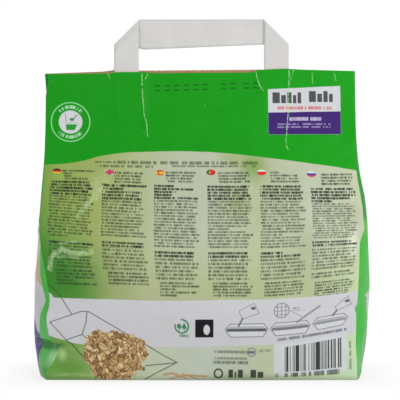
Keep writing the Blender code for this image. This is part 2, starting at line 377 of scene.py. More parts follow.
def slide_to_outline(points, parts):
    """Slides each row sideways so that the creases and the outline lie where the photograph shows them."""
    at = to_pixels(points)
    scale = PIXEL * (CAMERA_DISTANCE + points[..., 1]) / CAMERA_DISTANCE
    near = at[:, parts["near"]]
    rows = np.arange(len(points))
    shifts = {}
    for side, crease, outline, column, extreme in (
        ("left", LEFT_CREASE, LEFT_OUTLINE, 0, np.argmin),
        ("right", RIGHT_CREASE, RIGHT_OUTLINE, -1, np.argmax),
    ):
        at_crease = near[:, column]
        crease_shift = steady(read(crease, at_crease[:, 1]) - at_crease[:, 0])
        half = at[:, parts[side + "_near"]]
        if side == "left":
            half = half[:, ::-1]
        place = extreme(half[..., 0], axis=1)
        outermost = half[rows, place]
        outline_shift = steady(read(outline, outermost[:, 1]) - outermost[:, 0])
        shifts[side] = (crease_shift, outline_shift)
        full_at = np.maximum(place / GUSSET_STEPS, FULL_SHIFT_AT)
        t = np.linspace(0.0, 1.0, GUSSET_STEPS + 1)[None, :] / full_at[:, None]
        share = smooth(t, 0.0, 1.0)
        shift = crease_shift[:, None] * (1 - share) + outline_shift[:, None] * share
        if side == "left":
            shift = shift[:, ::-1]
        points[:, parts[side + "_near"], 0] += shift * scale[:, parts[side + "_near"]]
        points[:, parts[side + "_nose"], 0] += crease_shift[:, None] * scale[:, parts[side + "_nose"]]
        for name in (side + "_far", side + "_far_nose"):
            points[:, parts[name], 0] += outline_shift[:, None] * scale[:, parts[name]]
    for name, which in (("near", 0), ("far", 1)):
        px = at[:, parts[name], 0]
        low, high = px.min(axis=1, keepdims=True), px.max(axis=1, keepdims=True)
        across = (px - low) / (high - low)
        left, right = shifts["left"][which][:, None], shifts["right"][which][:, None]
        points[:, parts[name], 0] += (left * (1 - across) + right * across) * scale[:, parts[name]]


def surface_normals(points):
    """Outward directions of the loop's surface, from neighbouring points."""
    along = np.roll(points, -1, axis=1) - np.roll(points, 1, axis=1)
    up = np.gradient(points, axis=0)
    found = np.cross(along, up)
    length = np.linalg.norm(found, axis=-1, keepdims=True)
    return found / np.maximum(length, 1e-12)


def segment_distance(p, a, b):
    """Distance of pixels from a segment, how far along it they lie, and the side they are on."""
    a, b = np.array(a, float), np.array(b, float)
    run = b - a
    t = np.clip(((p - a) @ run) / (run @ run), 0.0, 1.0)
    gap = p - (a + t[..., None] * run)
    side = np.sign(run[0] * gap[..., 1] - run[1] * gap[..., 0])
    return np.linalg.norm(gap, axis=-1), t, side


def ridge(p, line, width, height, lean=0.0):
    """A fold along a line of pixels, height in metres out of the paper and width in pixels.

    It fades at both ends.
    With a lean the fold is steep on one side and drawn out on the other.
    """
    total = sum(math.dist(a, b) for a, b in zip(line, line[1:]))
    nearest = np.full(p.shape[:-1], 1e9)
    value = np.zeros(p.shape[:-1])
    done = 0.0
    for a, b in zip(line, line[1:]):
        length = math.dist(a, b)
        gap, t, side = segment_distance(p, a, b)
        along = (done + t * length) / total
        reach = width * (1 + lean * side)
        shape = np.exp(-((gap / reach) ** 2)) * np.sin(np.clip(along, 0.02, 0.98) * math.pi) ** 0.5
        closer = gap < nearest
        value = np.where(closer, shape, value)
        nearest = np.where(closer, gap, nearest)
        done += length
    return height * value


# Folds and dents in the near panel: the line in pixels, width in pixels, height in metres, lean
FOLDS = (
    # crumple at the left, where the fill ends
    (((50, 270), (49, 264), (51, 257), (56, 252), (63, 250), (69, 253), (76, 256), (91, 258)), 2.6, 0.0013, 0.3),
    (((53, 268), (57, 261), (63, 257), (70, 259), (80, 262)), 2.2, -0.0008, 0.0),
    (((49, 243), (60, 241), (74, 243), (88, 246)), 2.4, 0.0006, 0.3),
    (((41, 231.5), (46, 231.2), (56, 233)), 1.6, -0.0008, 0.0),
    # folds that run down from the corner of the flat top
    (((109, 172), (106, 180), (102, 188), (99, 197)), 1.8, 0.0013, 0.5),
    (((99, 197), (92, 197), (87, 201), (83, 207), (78, 213)), 2.6, 0.0011, -0.3),
    (((113, 178), (109, 192), (107, 206)), 3.0, -0.0007, 0.0),
    (((78, 213), (70, 222), (64, 232)), 3.0, 0.0006, 0.0),
    (((98, 250), (108, 255), (120, 256)), 2.2, 0.0007, 0.2),
    (((150, 164), (148, 190), (151, 220), (150, 250)), 4.0, 0.0006, 0.0),
    (((255, 160), (254, 190), (257, 230)), 4.0, -0.0005, 0.0),
    (((300, 170), (306, 205), (304, 245)), 4.5, 0.0006, 0.0),
    (((330, 180), (338, 215), (341, 250)), 4.5, -0.0006, 0.0),
    (((352, 232), (346, 243), (343, 258)), 3.0, 0.0008, 0.0),
    (((352, 270), (340, 283), (331, 296)), 3.5, -0.0007, 0.0),
    # the two legs of the handle, pressed through the flat top
    (((117.5, 74), (117.5, 100), (118.5, 134)), 1.6, 0.0004, 0.4),
    (((142, 76), (143, 95), (144.5, 115), (147, 136)), 1.4, 0.0007, -0.4),
    (((289, 71), (288.5, 87), (288, 115), (286.5, 150)), 1.4, 0.0006, 0.3),
    (((264.5, 72), (263, 95), (263, 120)), 1.8, 0.0003, 0.0),
    # along the base
    (((50, 375.5), (90, 376.5), (150, 377), (250, 377), (350, 375)), 1.6, 0.0006, 0.0),
    (((60, 352), (66, 349), (80, 352), (96, 360)), 3.0, 0.0007, 0.0),
    (((61, 346), (60, 354), (54, 366)), 2.4, -0.0009, 0.0),
    (((345, 345), (349, 360), (353, 372)), 3.0, 0.0008, 0.0),
    (((357, 309), (348, 306), (340, 301)), 2.4, -0.0008, 0.0),
    (((356, 318), (350, 326), (347, 340)), 2.4, 0.0007, 0.0),
)


def fold_panels(points, at, parts):
    """Folds, dents and soft lumps of both panels, straight out of the paper."""
    normals = surface_normals(points)
    fade_base = smooth(points[..., 2], 0.001, 0.007)
    lift = np.zeros(points.shape[:-1])
    near, far = parts["near"], parts["far"]
    fold_height = sum(ridge(at[:, near], *fold) for fold in FOLDS)
    slack = smooth(points[:, near, 2], HEIGHT, HEIGHT - 0.05)
    fine = lumps(points[:, near], 0.030, 3.1) * 0.0006 + lumps(points[:, near], 0.011, 8.7) * 0.00022
    lift[:, near] = fold_height + fine * (0.25 + 0.75 * slack)
    fine = lumps(points[:, far], 0.032, 21.0) * 0.0008 + lumps(points[:, far], 0.012, 5.0) * 0.00025
    lift[:, far] = fine * smooth(points[:, far, 2], HEIGHT, HEIGHT - 0.06)
    points += normals * (lift * fade_base)[..., None]


def sack_points():
    """Every point of the sack's surface, its pixel and the loop's parts."""
    z = row_heights()
    x, y, parts = loop_of(z)
    points = np.stack([x, y, np.repeat(z[:, None], x.shape[1], axis=1)], axis=-1)
    dent_gussets(points, parts)
    raise_top_edges(points)
    slide_to_outline(points, parts)
    at = to_pixels(points)
    fold_panels(points, at, parts)
    return points, at, parts


def ribbon_place(points, at, parts):
    """Across each gusset: over 0.5 on the light green strip beside the near crease, and less past it."""
    place = np.full(points.shape[:-1], ON_RIBBON)
    for side, ribbon, way in (("left", LEFT_RIBBON, -1.0), ("right", RIGHT_RIBBON, 1.0)):
        near = parts[side + "_near"]
        order = slice(None, None, -1) if side == "left" else slice(None)
        px = at[:, near, 0][:, order] * way
        steps = np.diff(px, axis=1, prepend=px[:, :1])
        outward = way * (px[:, :1] + np.cumsum(np.abs(steps), axis=1))
        from_pixels = 0.5 + way * (read(ribbon, at[:, near, 1][:, order]) - outward) / 60
        across = points[:, near][:, order]
        run = np.linalg.norm(np.diff(across, axis=1, prepend=across[:, :1]), axis=-1)
        from_length = 0.5 + (RIBBON_REACH - np.cumsum(run, axis=1)) / 0.05
        place[:, near] = np.minimum(from_pixels, from_length)[:, order]
        far = parts[side + "_far"]
        crease = points[:, parts[side + "_far_nose"]]
        gap = np.linalg.norm(points[:, far] - crease, axis=-1)
        place[:, far] = 0.5 + (0.010 - gap) / 0.09
    return place


def grid_faces(rows, columns):
    """Quads between neighbouring rows of a closed loop, facing out."""
    faces = []
    for r in range(rows - 1):
        for c in range(columns):
            n = (c + 1) % columns
            faces.append((r * columns + c, r * columns + n, (r + 1) * columns + n, (r + 1) * columns + c))
    return faces


SIDE_SLOT, FAR_SLOT, KRAFT_SLOT, NEAR_SLOT = range(4)

# The near panel's print is in three materials, which meet at these print rows
NEAR_SPLITS = (144, 303)


def make_sack():
    """The closed sack, with a mouth between its panels for the handle's legs and the kraft sheet."""
    points, at, parts = sack_points()
    rows, columns = points.shape[:2]
    verts = [tuple(v) for v in points.reshape(-1, 3)]
    faces = grid_faces(rows, columns)
    u, v = on_print(at[..., 0], at[..., 1])
    slot_grid = np.full((rows - 1, columns), SIDE_SLOT)
    near, far = (slice(parts[name].start, parts[name].stop - 1) for name in ("near", "far"))
    slot_grid[:, far] = FAR_SLOT
    slot_grid[:, near] = NEAR_SLOT + np.digitize(v[:-1, near], NEAR_SPLITS)
    slots = slot_grid.ravel().tolist()

    faces.append(tuple(range(columns))[::-1])
    slots.append(FAR_SLOT)

    # The top: lips between the outer edge and the mouth, the mouth's walls and floor, and both closed wings
    top = (rows - 1) * columns
    mouth_low, mouth_high = HANDLE_LOW.x + LEFT_LEG_STEP - MOUTH_MARGIN, HANDLE_HIGH.x + MOUTH_MARGIN
    walls = {}
    for name, wall_y in (("near", -MOUTH_HALF), ("far", MOUTH_HALF)):
        edge = range(parts[name].start, parts[name].stop)
        inside = [c for c in edge if mouth_low < points[-1, c, 0] < mouth_high]
        inner = []
        for c in inside:
            x, _, level = points[-1, c]
            inner.append((len(verts), len(verts) + 1))
            verts.append((x, wall_y, level))
            verts.append((x, wall_y, HEIGHT - MOUTH_DEPTH))
        walls[name] = (inside, inner)
        for i in range(len(inside) - 1):
            lip = (top + inside[i], top + inside[i + 1], inner[i + 1][0], inner[i][0])
            wall = (inner[i][0], inner[i + 1][0], inner[i + 1][1], inner[i][1])
            faces += [lip, wall]
            slots += [KRAFT_SLOT, KRAFT_SLOT]
    near_at, near_in = walls["near"]
    far_at, far_in = walls["far"]
    faces.append((near_in[0][0], near_in[0][1], far_in[-1][1], far_in[-1][0]))
    faces.append((near_in[-1][1], near_in[-1][0], far_in[0][0], far_in[0][1]))
    faces.append(tuple(pair[1] for pair in near_in) + tuple(pair[1] for pair in far_in))
    loop = [top + c for c in range(columns)]
    right = loop[near_at[-1]: far_at[0] + 1] + [far_in[0][0], near_in[-1][0]]
    left = loop[far_at[-1]:] + loop[: near_at[0] + 1] + [near_in[0][0], far_in[-1][0]]
    faces += [tuple(right), tuple(left)]
    slots += [KRAFT_SLOT] * 5

    mesh = bpy.data.meshes.new("sack")
    mesh.from_pydata(verts, [], faces)
    mesh.polygons.foreach_set("material_index", slots)
    mesh.update()

    # Print coordinates: the print's frame on the near panel, and across and up elsewhere
    near_uv = np.stack([u / PHOTO, 1 - v / PHOTO], axis=-1).reshape(-1, 2)
    side_uv = np.stack([ribbon_place(points, at, parts), points[..., 2] / HEIGHT], axis=-1).reshape(-1, 2)
    corner_verts = np.empty(len(mesh.loops), np.int32)
    mesh.loops.foreach_get("vertex_index", corner_verts)
    corner_slots = np.repeat(slots, [p.loop_total for p in mesh.polygons])
    on_grid = np.clip(corner_verts, 0, rows * columns - 1)
    uv = np.where(corner_slots[:, None] >= NEAR_SLOT, near_uv[on_grid], side_uv[on_grid]).astype(np.float32)
    layer = mesh.uv_layers.new(name="print")
    layer.uv.foreach_set("vector", uv.ravel())

    bm = bmesh.new()
    bm.from_mesh(mesh)
    bmesh.ops.recalc_face_normals(bm, faces=bm.faces)
    bm.to_mesh(mesh)
    bm.free()
    mesh.shade_smooth()
    mesh.set_sharp_from_angle(angle=math.radians(SHARP_DEGREES))
    sack = bpy.data.objects.new("sack", mesh)
    bpy.context.scene.collection.objects.link(sack)
    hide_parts("bag")
    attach(sack, "root")
    return sack


# Folds of the handle's strip along the way across each, as (turn in degrees, bend radius, flat length after it)
LEFT_FOLD = ((20.0, 0.0008, 0.0042), (160.0, 0.0007, 0.0))
RIGHT_FOLD = ((180.0, 0.0007, 0.0),)
FOLD_STEPS = 10


def fold_profile(fold):
    """Places along the bent sheet across a fold: length, reach and rise, and the turn there."""
    table = [(0.0, 0.0, 0.0, 0.0)]
    for degrees, radius, flat in fold:
        turn = math.radians(degrees)
        for _ in range(FOLD_STEPS):
            length, reach, rise, angle = table[-1]
            step = turn / FOLD_STEPS
            run = radius * step
            middle = angle + step / 2
            across, up = run * math.cos(middle), run * math.sin(middle)
            table.append((length + run, reach + across, rise + up, angle + step))
        if flat:
            length, reach, rise, angle = table[-1]
            table.append((length + flat, reach + flat * math.cos(angle), rise + flat * math.sin(angle), angle))
    return np.array(table)


def fold_over(points, corner, along, across, fold):
    """Folds what lies past a line of the flat sheet, which is in the XZ plane, towards +Y."""
    table = fold_profile(fold)
    from_corner = points - corner
    past = from_corner @ across
    lift = points[:, 1] - corner[1]
    length, reach, rise, turn = (np.interp(past, table[:, 0], table[:, k]) for k in range(4))
    beyond = np.clip(past - table[-1, 0], 0.0, None)
    reach = reach + beyond * np.cos(turn) - lift * np.sin(turn)
    rise = rise + beyond * np.sin(turn) + lift * np.cos(turn)
    level = np.stack([np.zeros(len(points)), np.ones(len(points)), np.zeros(len(points))], axis=-1)
    moved = corner + np.outer(from_corner @ along, along) + np.outer(reach, across) + rise[:, None] * level
    return np.where(past[:, None] > 0, moved, points)


def make_handle():
    """One strip: up from the mouth, folded back loosely at the left, across, and folded forward and down."""
    diagonal = 1 / math.sqrt(2)
    left_x = HANDLE_LOW.x + STRIP_WIDTH / 2 + LEFT_LEG_STEP
    right_x = HANDLE_HIGH.x - STRIP_WIDTH / 2 + RIGHT_LEG_STEP
    foot_z = HANDLE_LOW.z
    left_table, right_table = fold_profile(LEFT_FOLD), fold_profile(RIGHT_FOLD)
    left_length, left_reach = left_table[-1, 0], left_table[-1, 1]
    right_length = right_table[-1, 0]
    band_z = HANDLE_HIGH.z - STRIP_WIDTH / 2 - HANDLE_SINK
    first_z = band_z - (left_length + left_reach) * diagonal
    second_z = first_z + (right_x - left_x) + (left_length + left_reach) * diagonal - right_length * diagonal
    end_z = second_z + (band_z - foot_z) + right_length * diagonal
    first = np.array([left_x, LEG_Y, first_z])
    second = np.array([left_x, LEG_Y, second_z])
    rising = np.array([diagonal, 0.0, diagonal])
    falling = np.array([-diagonal, 0.0, diagonal])

    rows = []
    slant_length = 1.5 * STRIP_WIDTH
    bend = math.sqrt(2)
    for s in np.linspace(foot_z, first_z, 40, endpoint=False):
        rows.append((s, max(0.0, 1 - (first_z - s) / slant_length)))
    for length in left_table[:-1, 0]:
        rows.append((first_z + bend * length, 1.0))
    start = first_z + bend * left_length
    for share in np.linspace(0.0, 1.0, 60, endpoint=False):
        rows.append((start + (second_z - start) * share, 1 - 2 * share))
    for length in right_table[:-1, 0]:
        rows.append((second_z + bend * length, -1.0))
    start = second_z + bend * right_length
    for s in np.linspace(start, end_z, 41):
        rows.append((s, -max(0.0, 1 - (s - start) / slant_length)))

    columns = 12
    v = STRIP_WIDTH * (np.arange(columns + 1) / columns - 0.5)
    flat = np.array([(left_x + w, LEG_Y, s + slant * w) for s, slant in rows for w in v])
    points = fold_over(flat, second, falling, rising, RIGHT_FOLD)
    points = fold_over(points, first, rising, falling, LEFT_FOLD)

    # The band comes forward as it goes right, so that the right leg is back in the mouth's plane
    rise = left_table[-1, 2] - right_table[-1, 2]
    forward = smooth(points[:, 0], left_x + 0.012, right_x - 0.004)
    past_first = np.arange(len(points)) >= (40 + len(left_table) - 1) * (columns + 1)
    points[:, 1] -= rise * forward * past_first
    # The band's lower edge droops at the loose left corner
    past_crease = -((points - first) @ falling)
    across = np.clip((points[:, 0] - left_x) / (right_x - left_x), 0.0, 1.0)
    below_top = np.clip((band_z + STRIP_WIDTH / 2 - points[:, 2]) / STRIP_WIDTH, 0.0, 1.0)
    droop = BAND_DROOP * smooth(past_crease, 0.0, BAND_DROOP_RUN) * below_top * (1 - across)
    points[:, 2] -= droop * past_first
    above = smooth(points[:, 2], HEIGHT + 0.004, HEIGHT + 0.03)
    wave = np.array([noise.noise(Vector((p[0] / 0.03, 4.0, p[2] / 0.03))) for p in points])
    points[:, 1] += 0.0007 * wave * above

    faces = []
    for r in range(len(rows) - 1):
        for c in range(columns):
            a = r * (columns + 1) + c
            faces.append((a, a + 1, a + columns + 2, a + columns + 1))
    mesh = bpy.data.meshes.new("paper_handle")
    mesh.from_pydata([tuple(p) for p in points], [], faces)
    mesh.shade_smooth()
    handle = bpy.data.objects.new("paper_handle", mesh)
    bpy.context.scene.collection.objects.link(handle)
    ply = handle.modifiers.new("paper", "SOLIDIFY")
    ply.thickness = STRIP_THICKNESS
    ply.offset = 0.0
    ply.use_even_offset = True
    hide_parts("handle")
    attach(handle, "root")
    return handle


def make_patch():
    """The kraft sheet behind the legs, with an uneven torn top edge."""
    steps, levels = 120, 12
    low_x, high_x = PATCH_LOW.x, PATCH_HIGH.x
    front, back = PATCH_LOW.y, PATCH_HIGH.y
    bm = bmesh.new()
    grids = []
    for y in (front, back):
        grid = []
        for i in range(steps + 1):
            x = low_x + (high_x - low_x) * i / steps
            px = PHOTO / 2 + (x - AIM_X) / PIXEL
            top = HEIGHT + (TOP_PIXEL - read(FAR_TOP, px)) * PIXEL + 0.0004
            top += 0.00022 * noise.noise(Vector((x / 0.003, 0.0, 0.0)))
            column = []
            for k in range(levels + 1):
                column.append(bm.verts.new((x, y, PATCH_LOW.z + (top - PATCH_LOW.z) * k / levels)))
            grid.append(column)
        grids.append(grid)
    near, far = grids
    for i in range(steps):
        for k in range(levels):
            bm.faces.new((near[i][k], near[i + 1][k], near[i + 1][k + 1], near[i][k + 1]))
            bm.faces.new((far[i][k], far[i][k + 1], far[i + 1][k + 1], far[i + 1][k]))
        bm.faces.new((near[i][levels], near[i + 1][levels], far[i + 1][levels], far[i][levels]))
        bm.faces.new((near[i][0], far[i][0], far[i + 1][0], near[i + 1][0]))
    for k in range(levels):
        bm.faces.new((near[0][k], near[0][k + 1], far[0][k + 1], far[0][k]))
        bm.faces.new((near[-1][k], far[-1][k], far[-1][k + 1], near[-1][k + 1]))
    mesh = bpy.data.meshes.new("kraft_sheet")
    bm.to_mesh(mesh)
    bm.free()
    patch = bpy.data.objects.new("kraft_sheet", mesh)
    bpy.context.scene.collection.objects.link(patch)
    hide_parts("handle_patch")
    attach(patch, "root")
    return patch


def linear(colour):
    """A colour of 0 to 255 as the photograph shows it, made linear."""
    found = []
    for value in colour:
        c = value / 255
        found.append(c / 12.92 if c <= 0.04045 else ((c + 0.055) / 1.055) ** 2.4)
    return (*found, 1.0)


# Colours as the photograph shows them
# The top's green grows brighter to the right, which is painted light from the right over the print's green
TOP_GREEN = ((45, (6, 143, 8)), (200, (6, 147, 8)), (355, (8, 155, 8)))
SIDE_GREEN = (8, 144, 18)
MEADOW_GREEN = (58, 130, 38)
BAND_WHITE = (201, 201, 205)
INK = (36, 48, 36)
DARK = (4, 6, 8)
LINE_GREY = (88, 92, 96)
PURPLE = (58, 28, 108)
KRAFT = (178, 138, 104)
PLATE_WHITE = (206, 208, 211)
BAR_BLACK = (26, 28, 30)
DIGIT_GREY = (40, 42, 44)
CRACK_AND_HIGHLIGHT_GREEN = (186, 212, 160)
# pale green of cracked ink, also used as painted highlight on folds
SPECK_GREEN = (176, 222, 166)
# painted highlight on the bulge at the left gusset's foot
PAINTED_HIGHLIGHT_GREEN = (176, 222, 170)
STRIP_GREY = (209, 207, 205)
WORN = (168, 220, 150)

# The printed paper: its roughness, and its fibres' scale and height
PRINT_ROUGHNESS = 0.42
PRINT_FIBRE = (260.0, 0.00025)


class Ink:
    """Builds a material's nodes: masks over a print's coordinates, and colours laid over each other."""

    def __init__(self, name, roughness, specular=0.18):
        self.material = bpy.data.materials.new(name)
        self.material.use_nodes = True
        self.tree = self.material.node_tree
        self.shader = self.tree.nodes["Principled BSDF"]
        self.shader.inputs["Roughness"].default_value = roughness
        self.shader.inputs["Specular IOR Level"].default_value = specular

    def node(self, kind, **settings):
        made = self.tree.nodes.new(kind)
        for key, value in settings.items():
            setattr(made, key, value)
        return made

    def put(self, socket, value):
        if isinstance(value, bpy.types.NodeSocket):
            self.tree.links.new(value, socket)
        else:
            socket.default_value = value

    def math(self, operation, a, b=None, c=None, clamp=False):
        made = self.node("ShaderNodeMath", operation=operation, use_clamp=clamp)
        for i, value in enumerate((a, b, c)):
            if value is not None:
                self.put(made.inputs[i], value)
        return made.outputs[0]

    def plus(self, a, b):
        return self.math("ADD", a, b)

    def minus(self, a, b):
        return self.math("SUBTRACT", a, b)

    def times(self, a, b):
        return self.math("MULTIPLY", a, b)

    def floor(self, value):
        return self.math("FLOOR", value)

    def over(self, value, edge, soft=0.5):
        """1 where value is past edge, with a soft step. Edge may be a curve's output."""
        return self.math("ADD", self.math("DIVIDE", self.minus(value, edge), soft), 0.5, clamp=True)

    def under(self, value, edge, soft=0.5):
        return self.minus(1.0, self.over(value, edge, soft))

    def both(self, *masks):
        found = masks[0]
        for mask in masks[1:]:
            found = self.times(found, mask)
        return found

    def either(self, *masks):
        found = masks[0]
        for mask in masks[1:]:
            found = self.math("MAXIMUM", found, mask)
        return found

    def without(self, mask, hole):
        return self.times(mask, self.minus(1.0, hole))

    def map(self, value, low, high, start, end):
        """A straight climb from start to end between low and high, and level outside."""
        made = self.node("ShaderNodeMapRange")
        for name, number in (("From Min", low), ("From Max", high), ("To Min", start), ("To Max", end)):
            made.inputs[name].default_value = number
        self.put(made.inputs["Value"], value)
        return made.outputs["Result"]

    def box(self, x0, y0, x1, y1, corner=0.0, soft=0.6):
        """A rectangle, with round corners of this radius."""
        dx = self.minus(self.math("ABSOLUTE", self.minus(self.x, (x0 + x1) / 2)), (x1 - x0) / 2 - corner)
        dy = self.minus(self.math("ABSOLUTE", self.minus(self.y, (y0 + y1) / 2)), (y1 - y0) / 2 - corner)
        if corner:
            dx, dy = self.math("MAXIMUM", dx, 0.0), self.math("MAXIMUM", dy, 0.0)
            outside = self.math("SQRT", self.plus(self.times(dx, dx), self.times(dy, dy)))
            return self.under(outside, corner, soft)
        return self.under(self.math("MAXIMUM", dx, dy), 0.0, soft)

    def reach(self, x, y, rx, ry):
        """Distance from a centre, 1 on the ellipse."""
        dx = self.math("DIVIDE", self.minus(self.x, x), rx)
        dy = self.math("DIVIDE", self.minus(self.y, y), ry)
        return self.math("SQRT", self.plus(self.times(dx, dx), self.times(dy, dy)))

    def ellipse(self, x, y, rx, ry, soft=0.6):
        """1 inside an ellipse."""
        return self.under(self.reach(x, y, rx, ry), 1.0, soft / min(rx, ry))

    def glow(self, x, y, rx, ry):
        """1 at a centre, fading out smoothly to the ellipse."""
        near = self.math("SUBTRACT", 1.0, self.reach(x, y, rx, ry), clamp=True)
        return self.times(self.times(near, near), self.math("MULTIPLY_ADD", near, -2.0, 3.0))

    def ring(self, x, y, radius, width, soft=0.6):
        gap = self.math("ABSOLUTE", self.minus(self.reach(x, y, 1.0, 1.0), radius))
        return self.under(gap, width / 2, soft)

    def stroke(self, a, b, width, soft=0.5):
        """A straight line from a to b."""
        run = (b[0] - a[0], b[1] - a[1])
        length = math.hypot(*run)
        ux, uy = run[0] / length, run[1] / length
        dx, dy = self.minus(self.x, a[0]), self.minus(self.y, a[1])
        along = self.plus(self.times(dx, ux), self.times(dy, uy))
        aside = self.minus(self.times(dx, uy), self.times(dy, ux))
        past = self.minus(self.math("ABSOLUTE", self.minus(along, length / 2)), length / 2)
        return self.under(self.math("MAXIMUM", self.math("ABSOLUTE", aside), past), width / 2, soft)

    def path(self, line, width, soft=0.5):
        return self.either(*(self.stroke(a, b, width, soft) for a, b in zip(line, line[1:])))

    def polygon(self, corners, soft=0.6):
        """1 inside a convex shape, its corners given clockwise with y down."""
        outside = None
        for (ax, ay), (bx, by) in zip(corners, corners[1:] + corners[:1]):
            length = math.hypot(bx - ax, by - ay)
            nx, ny = (by - ay) / length, -(bx - ax) / length
            gap = self.plus(self.times(self.x, nx), self.math("MULTIPLY_ADD", self.y, ny, -(ax * nx + ay * ny)))
            outside = gap if outside is None else self.math("MAXIMUM", outside, gap)
        return self.under(outside, 0.0, soft)

    def curve(self, value, points):
        """A smooth curve through points, read at value."""
        low_in, high_in = points[0][0], points[-1][0]
        low, high = min(p[1] for p in points), max(p[1] for p in points)
        made = self.node("ShaderNodeFloatCurve")
        line = made.mapping.curves[0]
        places = [((p[0] - low_in) / (high_in - low_in), (p[1] - low) / (high - low)) for p in points]
        line.points[0].location, line.points[1].location = places[0], places[-1]
        for place in places[1:-1]:
            line.points.new(*place)
        made.mapping.update()
        self.put(made.inputs["Value"], self.map(value, low_in, high_in, 0.0, 1.0))
        return self.math("MULTIPLY_ADD", made.outputs[0], high - low, low)

    def ramp(self, value, stops, low=0.0, high=1.0):
        """Colours along value, given as (place, colour of 0 to 255)."""
        made = self.node("ShaderNodeValToRGB")
        elements = made.color_ramp.elements
        places = [(place - low) / (high - low) for place, _ in stops]
        elements[0].position, elements[1].position = places[0], places[-1]
        for place in places[1:-1]:
            elements.new(place)
        for element, (_, colour) in zip(elements, stops):
            element.color = linear(colour)
        self.put(made.inputs["Fac"], self.math("DIVIDE", self.minus(value, low), high - low))
        return made.outputs["Color"]

    def lay(self, below, colour, mask, strength=1.0):
        """Colour printed over what is below, where the mask is 1."""
        made = self.node("ShaderNodeMix", data_type="RGBA")
        self.put(made.inputs["Factor"], mask if strength == 1.0 else self.times(mask, strength))
        self.put(made.inputs[6], below if isinstance(below, bpy.types.NodeSocket) else linear(below))
        self.put(made.inputs[7], colour if isinstance(colour, bpy.types.NodeSocket) else linear(colour))
        return made.outputs[2]

    def vector(self, x, y, z=0.0):
        made = self.node("ShaderNodeCombineXYZ")
        for i, value in enumerate((x, y, z)):
            self.put(made.inputs[i], value)
        return made.outputs[0]

    def noise(self, scale, detail=2.0, at=None):
        made = self.node("ShaderNodeTexNoise")
        made.inputs["Scale"].default_value = scale
        made.inputs["Detail"].default_value = detail
        if at is not None:
            self.put(made.inputs["Vector"], at)
        return made.outputs["Fac"]

    def cells(self, at, scale, feature):
        made = self.node("ShaderNodeTexVoronoi", voronoi_dimensions="2D", feature=feature)
        made.inputs["Scale"].default_value = scale
        self.put(made.inputs["Vector"], at)
        return made

    def channels(self, colour):
        made = self.node("ShaderNodeSeparateColor")
        self.put(made.inputs[0], colour)
        return made.outputs

    def random(self, x, y):
        """One random number for each pair of whole numbers."""
        made = self.node("ShaderNodeTexWhiteNoise", noise_dimensions="2D")
        self.put(made.inputs["Vector"], self.vector(x, y))
        return made.outputs["Value"]

    def use_print_map(self):
        """x and y become the print's coordinates, in pixels, and at becomes their vector for textures."""
        uv = self.node("ShaderNodeUVMap", uv_map="print").outputs[0]
        split = self.node("ShaderNodeSeparateXYZ")
        self.put(split.inputs[0], uv)
        self.x = self.times(split.outputs[0], PHOTO)
        self.y = self.times(self.minus(1.0, split.outputs[1]), PHOTO)
        self.at = uv

    def use_place(self):
        """x, y and z become metres in the sack's frame."""
        place = self.node("ShaderNodeTexCoord").outputs["Object"]
        split = self.node("ShaderNodeSeparateXYZ")
        self.put(split.inputs[0], place)
        self.at = place
        return split.outputs

    def section(self, build, colour):
        """Lays what build draws over a colour, from a node group of its own."""
        tree = bpy.data.node_groups.new(build.__name__, "ShaderNodeTree")
        kinds = (("colour", "Color"), ("x", "Float"), ("y", "Float"), ("at", "Vector"))
        for label, kind in kinds:
            tree.interface.new_socket(label, in_out="INPUT", socket_type="NodeSocket" + kind)
        tree.interface.new_socket("colour", in_out="OUTPUT", socket_type="NodeSocketColor")
        outside = self.tree, self.x, self.y, self.at
        self.tree = tree
        below, self.x, self.y, self.at = self.node("NodeGroupInput").outputs[: len(kinds)]
        made = build(self, below)
        self.put(self.node("NodeGroupOutput").inputs[0], made)
        self.tree, self.x, self.y, self.at = outside
        group = self.node("ShaderNodeGroup", node_tree=tree)
        for socket, value in zip(group.inputs, (colour, self.x, self.y, self.at)):
            self.put(socket, value)
        return group.outputs[0]

    def finish(self, colour, fibre, height):
        """Sets the colour, and fine unevenness of the paper as bump."""
        self.put(self.shader.inputs["Base Color"], colour)
        place = self.node("ShaderNodeTexCoord").outputs["Object"]
        bump = self.node("ShaderNodeBump")
        bump.inputs["Strength"].default_value = 0.6
        bump.inputs["Distance"].default_value = height
        self.put(bump.inputs["Height"], self.noise(fibre, 3.0, place))
        self.put(self.shader.inputs["Normal"], bump.outputs[0])
        return self.material


# Fields of the near panel: edges as (pixel x, pixel y), and colours across as (print x, colour)
ARCH = (
    (30, 167), (45, 164.9), (62, 163.8), (80, 161.2), (104, 155.4), (122, 153.2), (140, 152), (170, 151.4),
    (200, 151.7), (255, 156.3), (300, 162), (330, 166), (357, 170.6), (370, 172),
)
BAND_UPPER = (
    (30, 291), (49.5, 292.6), (52.5, 296), (56, 297.6), (109, 299.4), (146, 300.5), (200, 300.4),
    (275, 299), (330, 294.8), (358, 290.8), (372, 288),
)
BAND_LOWER = (
    (30, 331), (52, 336.6), (66, 340.5), (85, 344.8), (110, 346), (150, 347), (200, 347.2), (272, 344.6),
    (300, 343.4), (344.6, 335.7), (354.8, 332.6), (372, 328),
)
MEADOW_ACROSS = (
    (40, (112, 150, 64)), (62, (142, 168, 84)), (98, (156, 170, 100)), (128, (172, 183, 130)),
    (170, (182, 191, 162)), (203, (184, 192, 168)), (256, (180, 189, 152)), (306, (188, 195, 170)),
    (357, (192, 200, 168)),
)
MEADOW_LOW = (
    (40, (80, 140, 50)), (75, (92, 146, 58)), (105, (146, 164, 100)), (140, (172, 180, 135)),
    (230, (174, 184, 140)), (310, (176, 187, 146)), (357, (194, 208, 166)),
)
LOW_START, LOW_BLEND = 262.0, 46.0
FIELD_ENDS = (40, 357)
FOOT_ACROSS = (
    (40, (104, 152, 70)), (72, (118, 156, 78)), (100, (150, 174, 108)), (140, (188, 197, 170)),
    (205, (190, 199, 184)), (262, (186, 194, 164)), (320, (190, 204, 170)), (357, (193, 216, 178)),
)
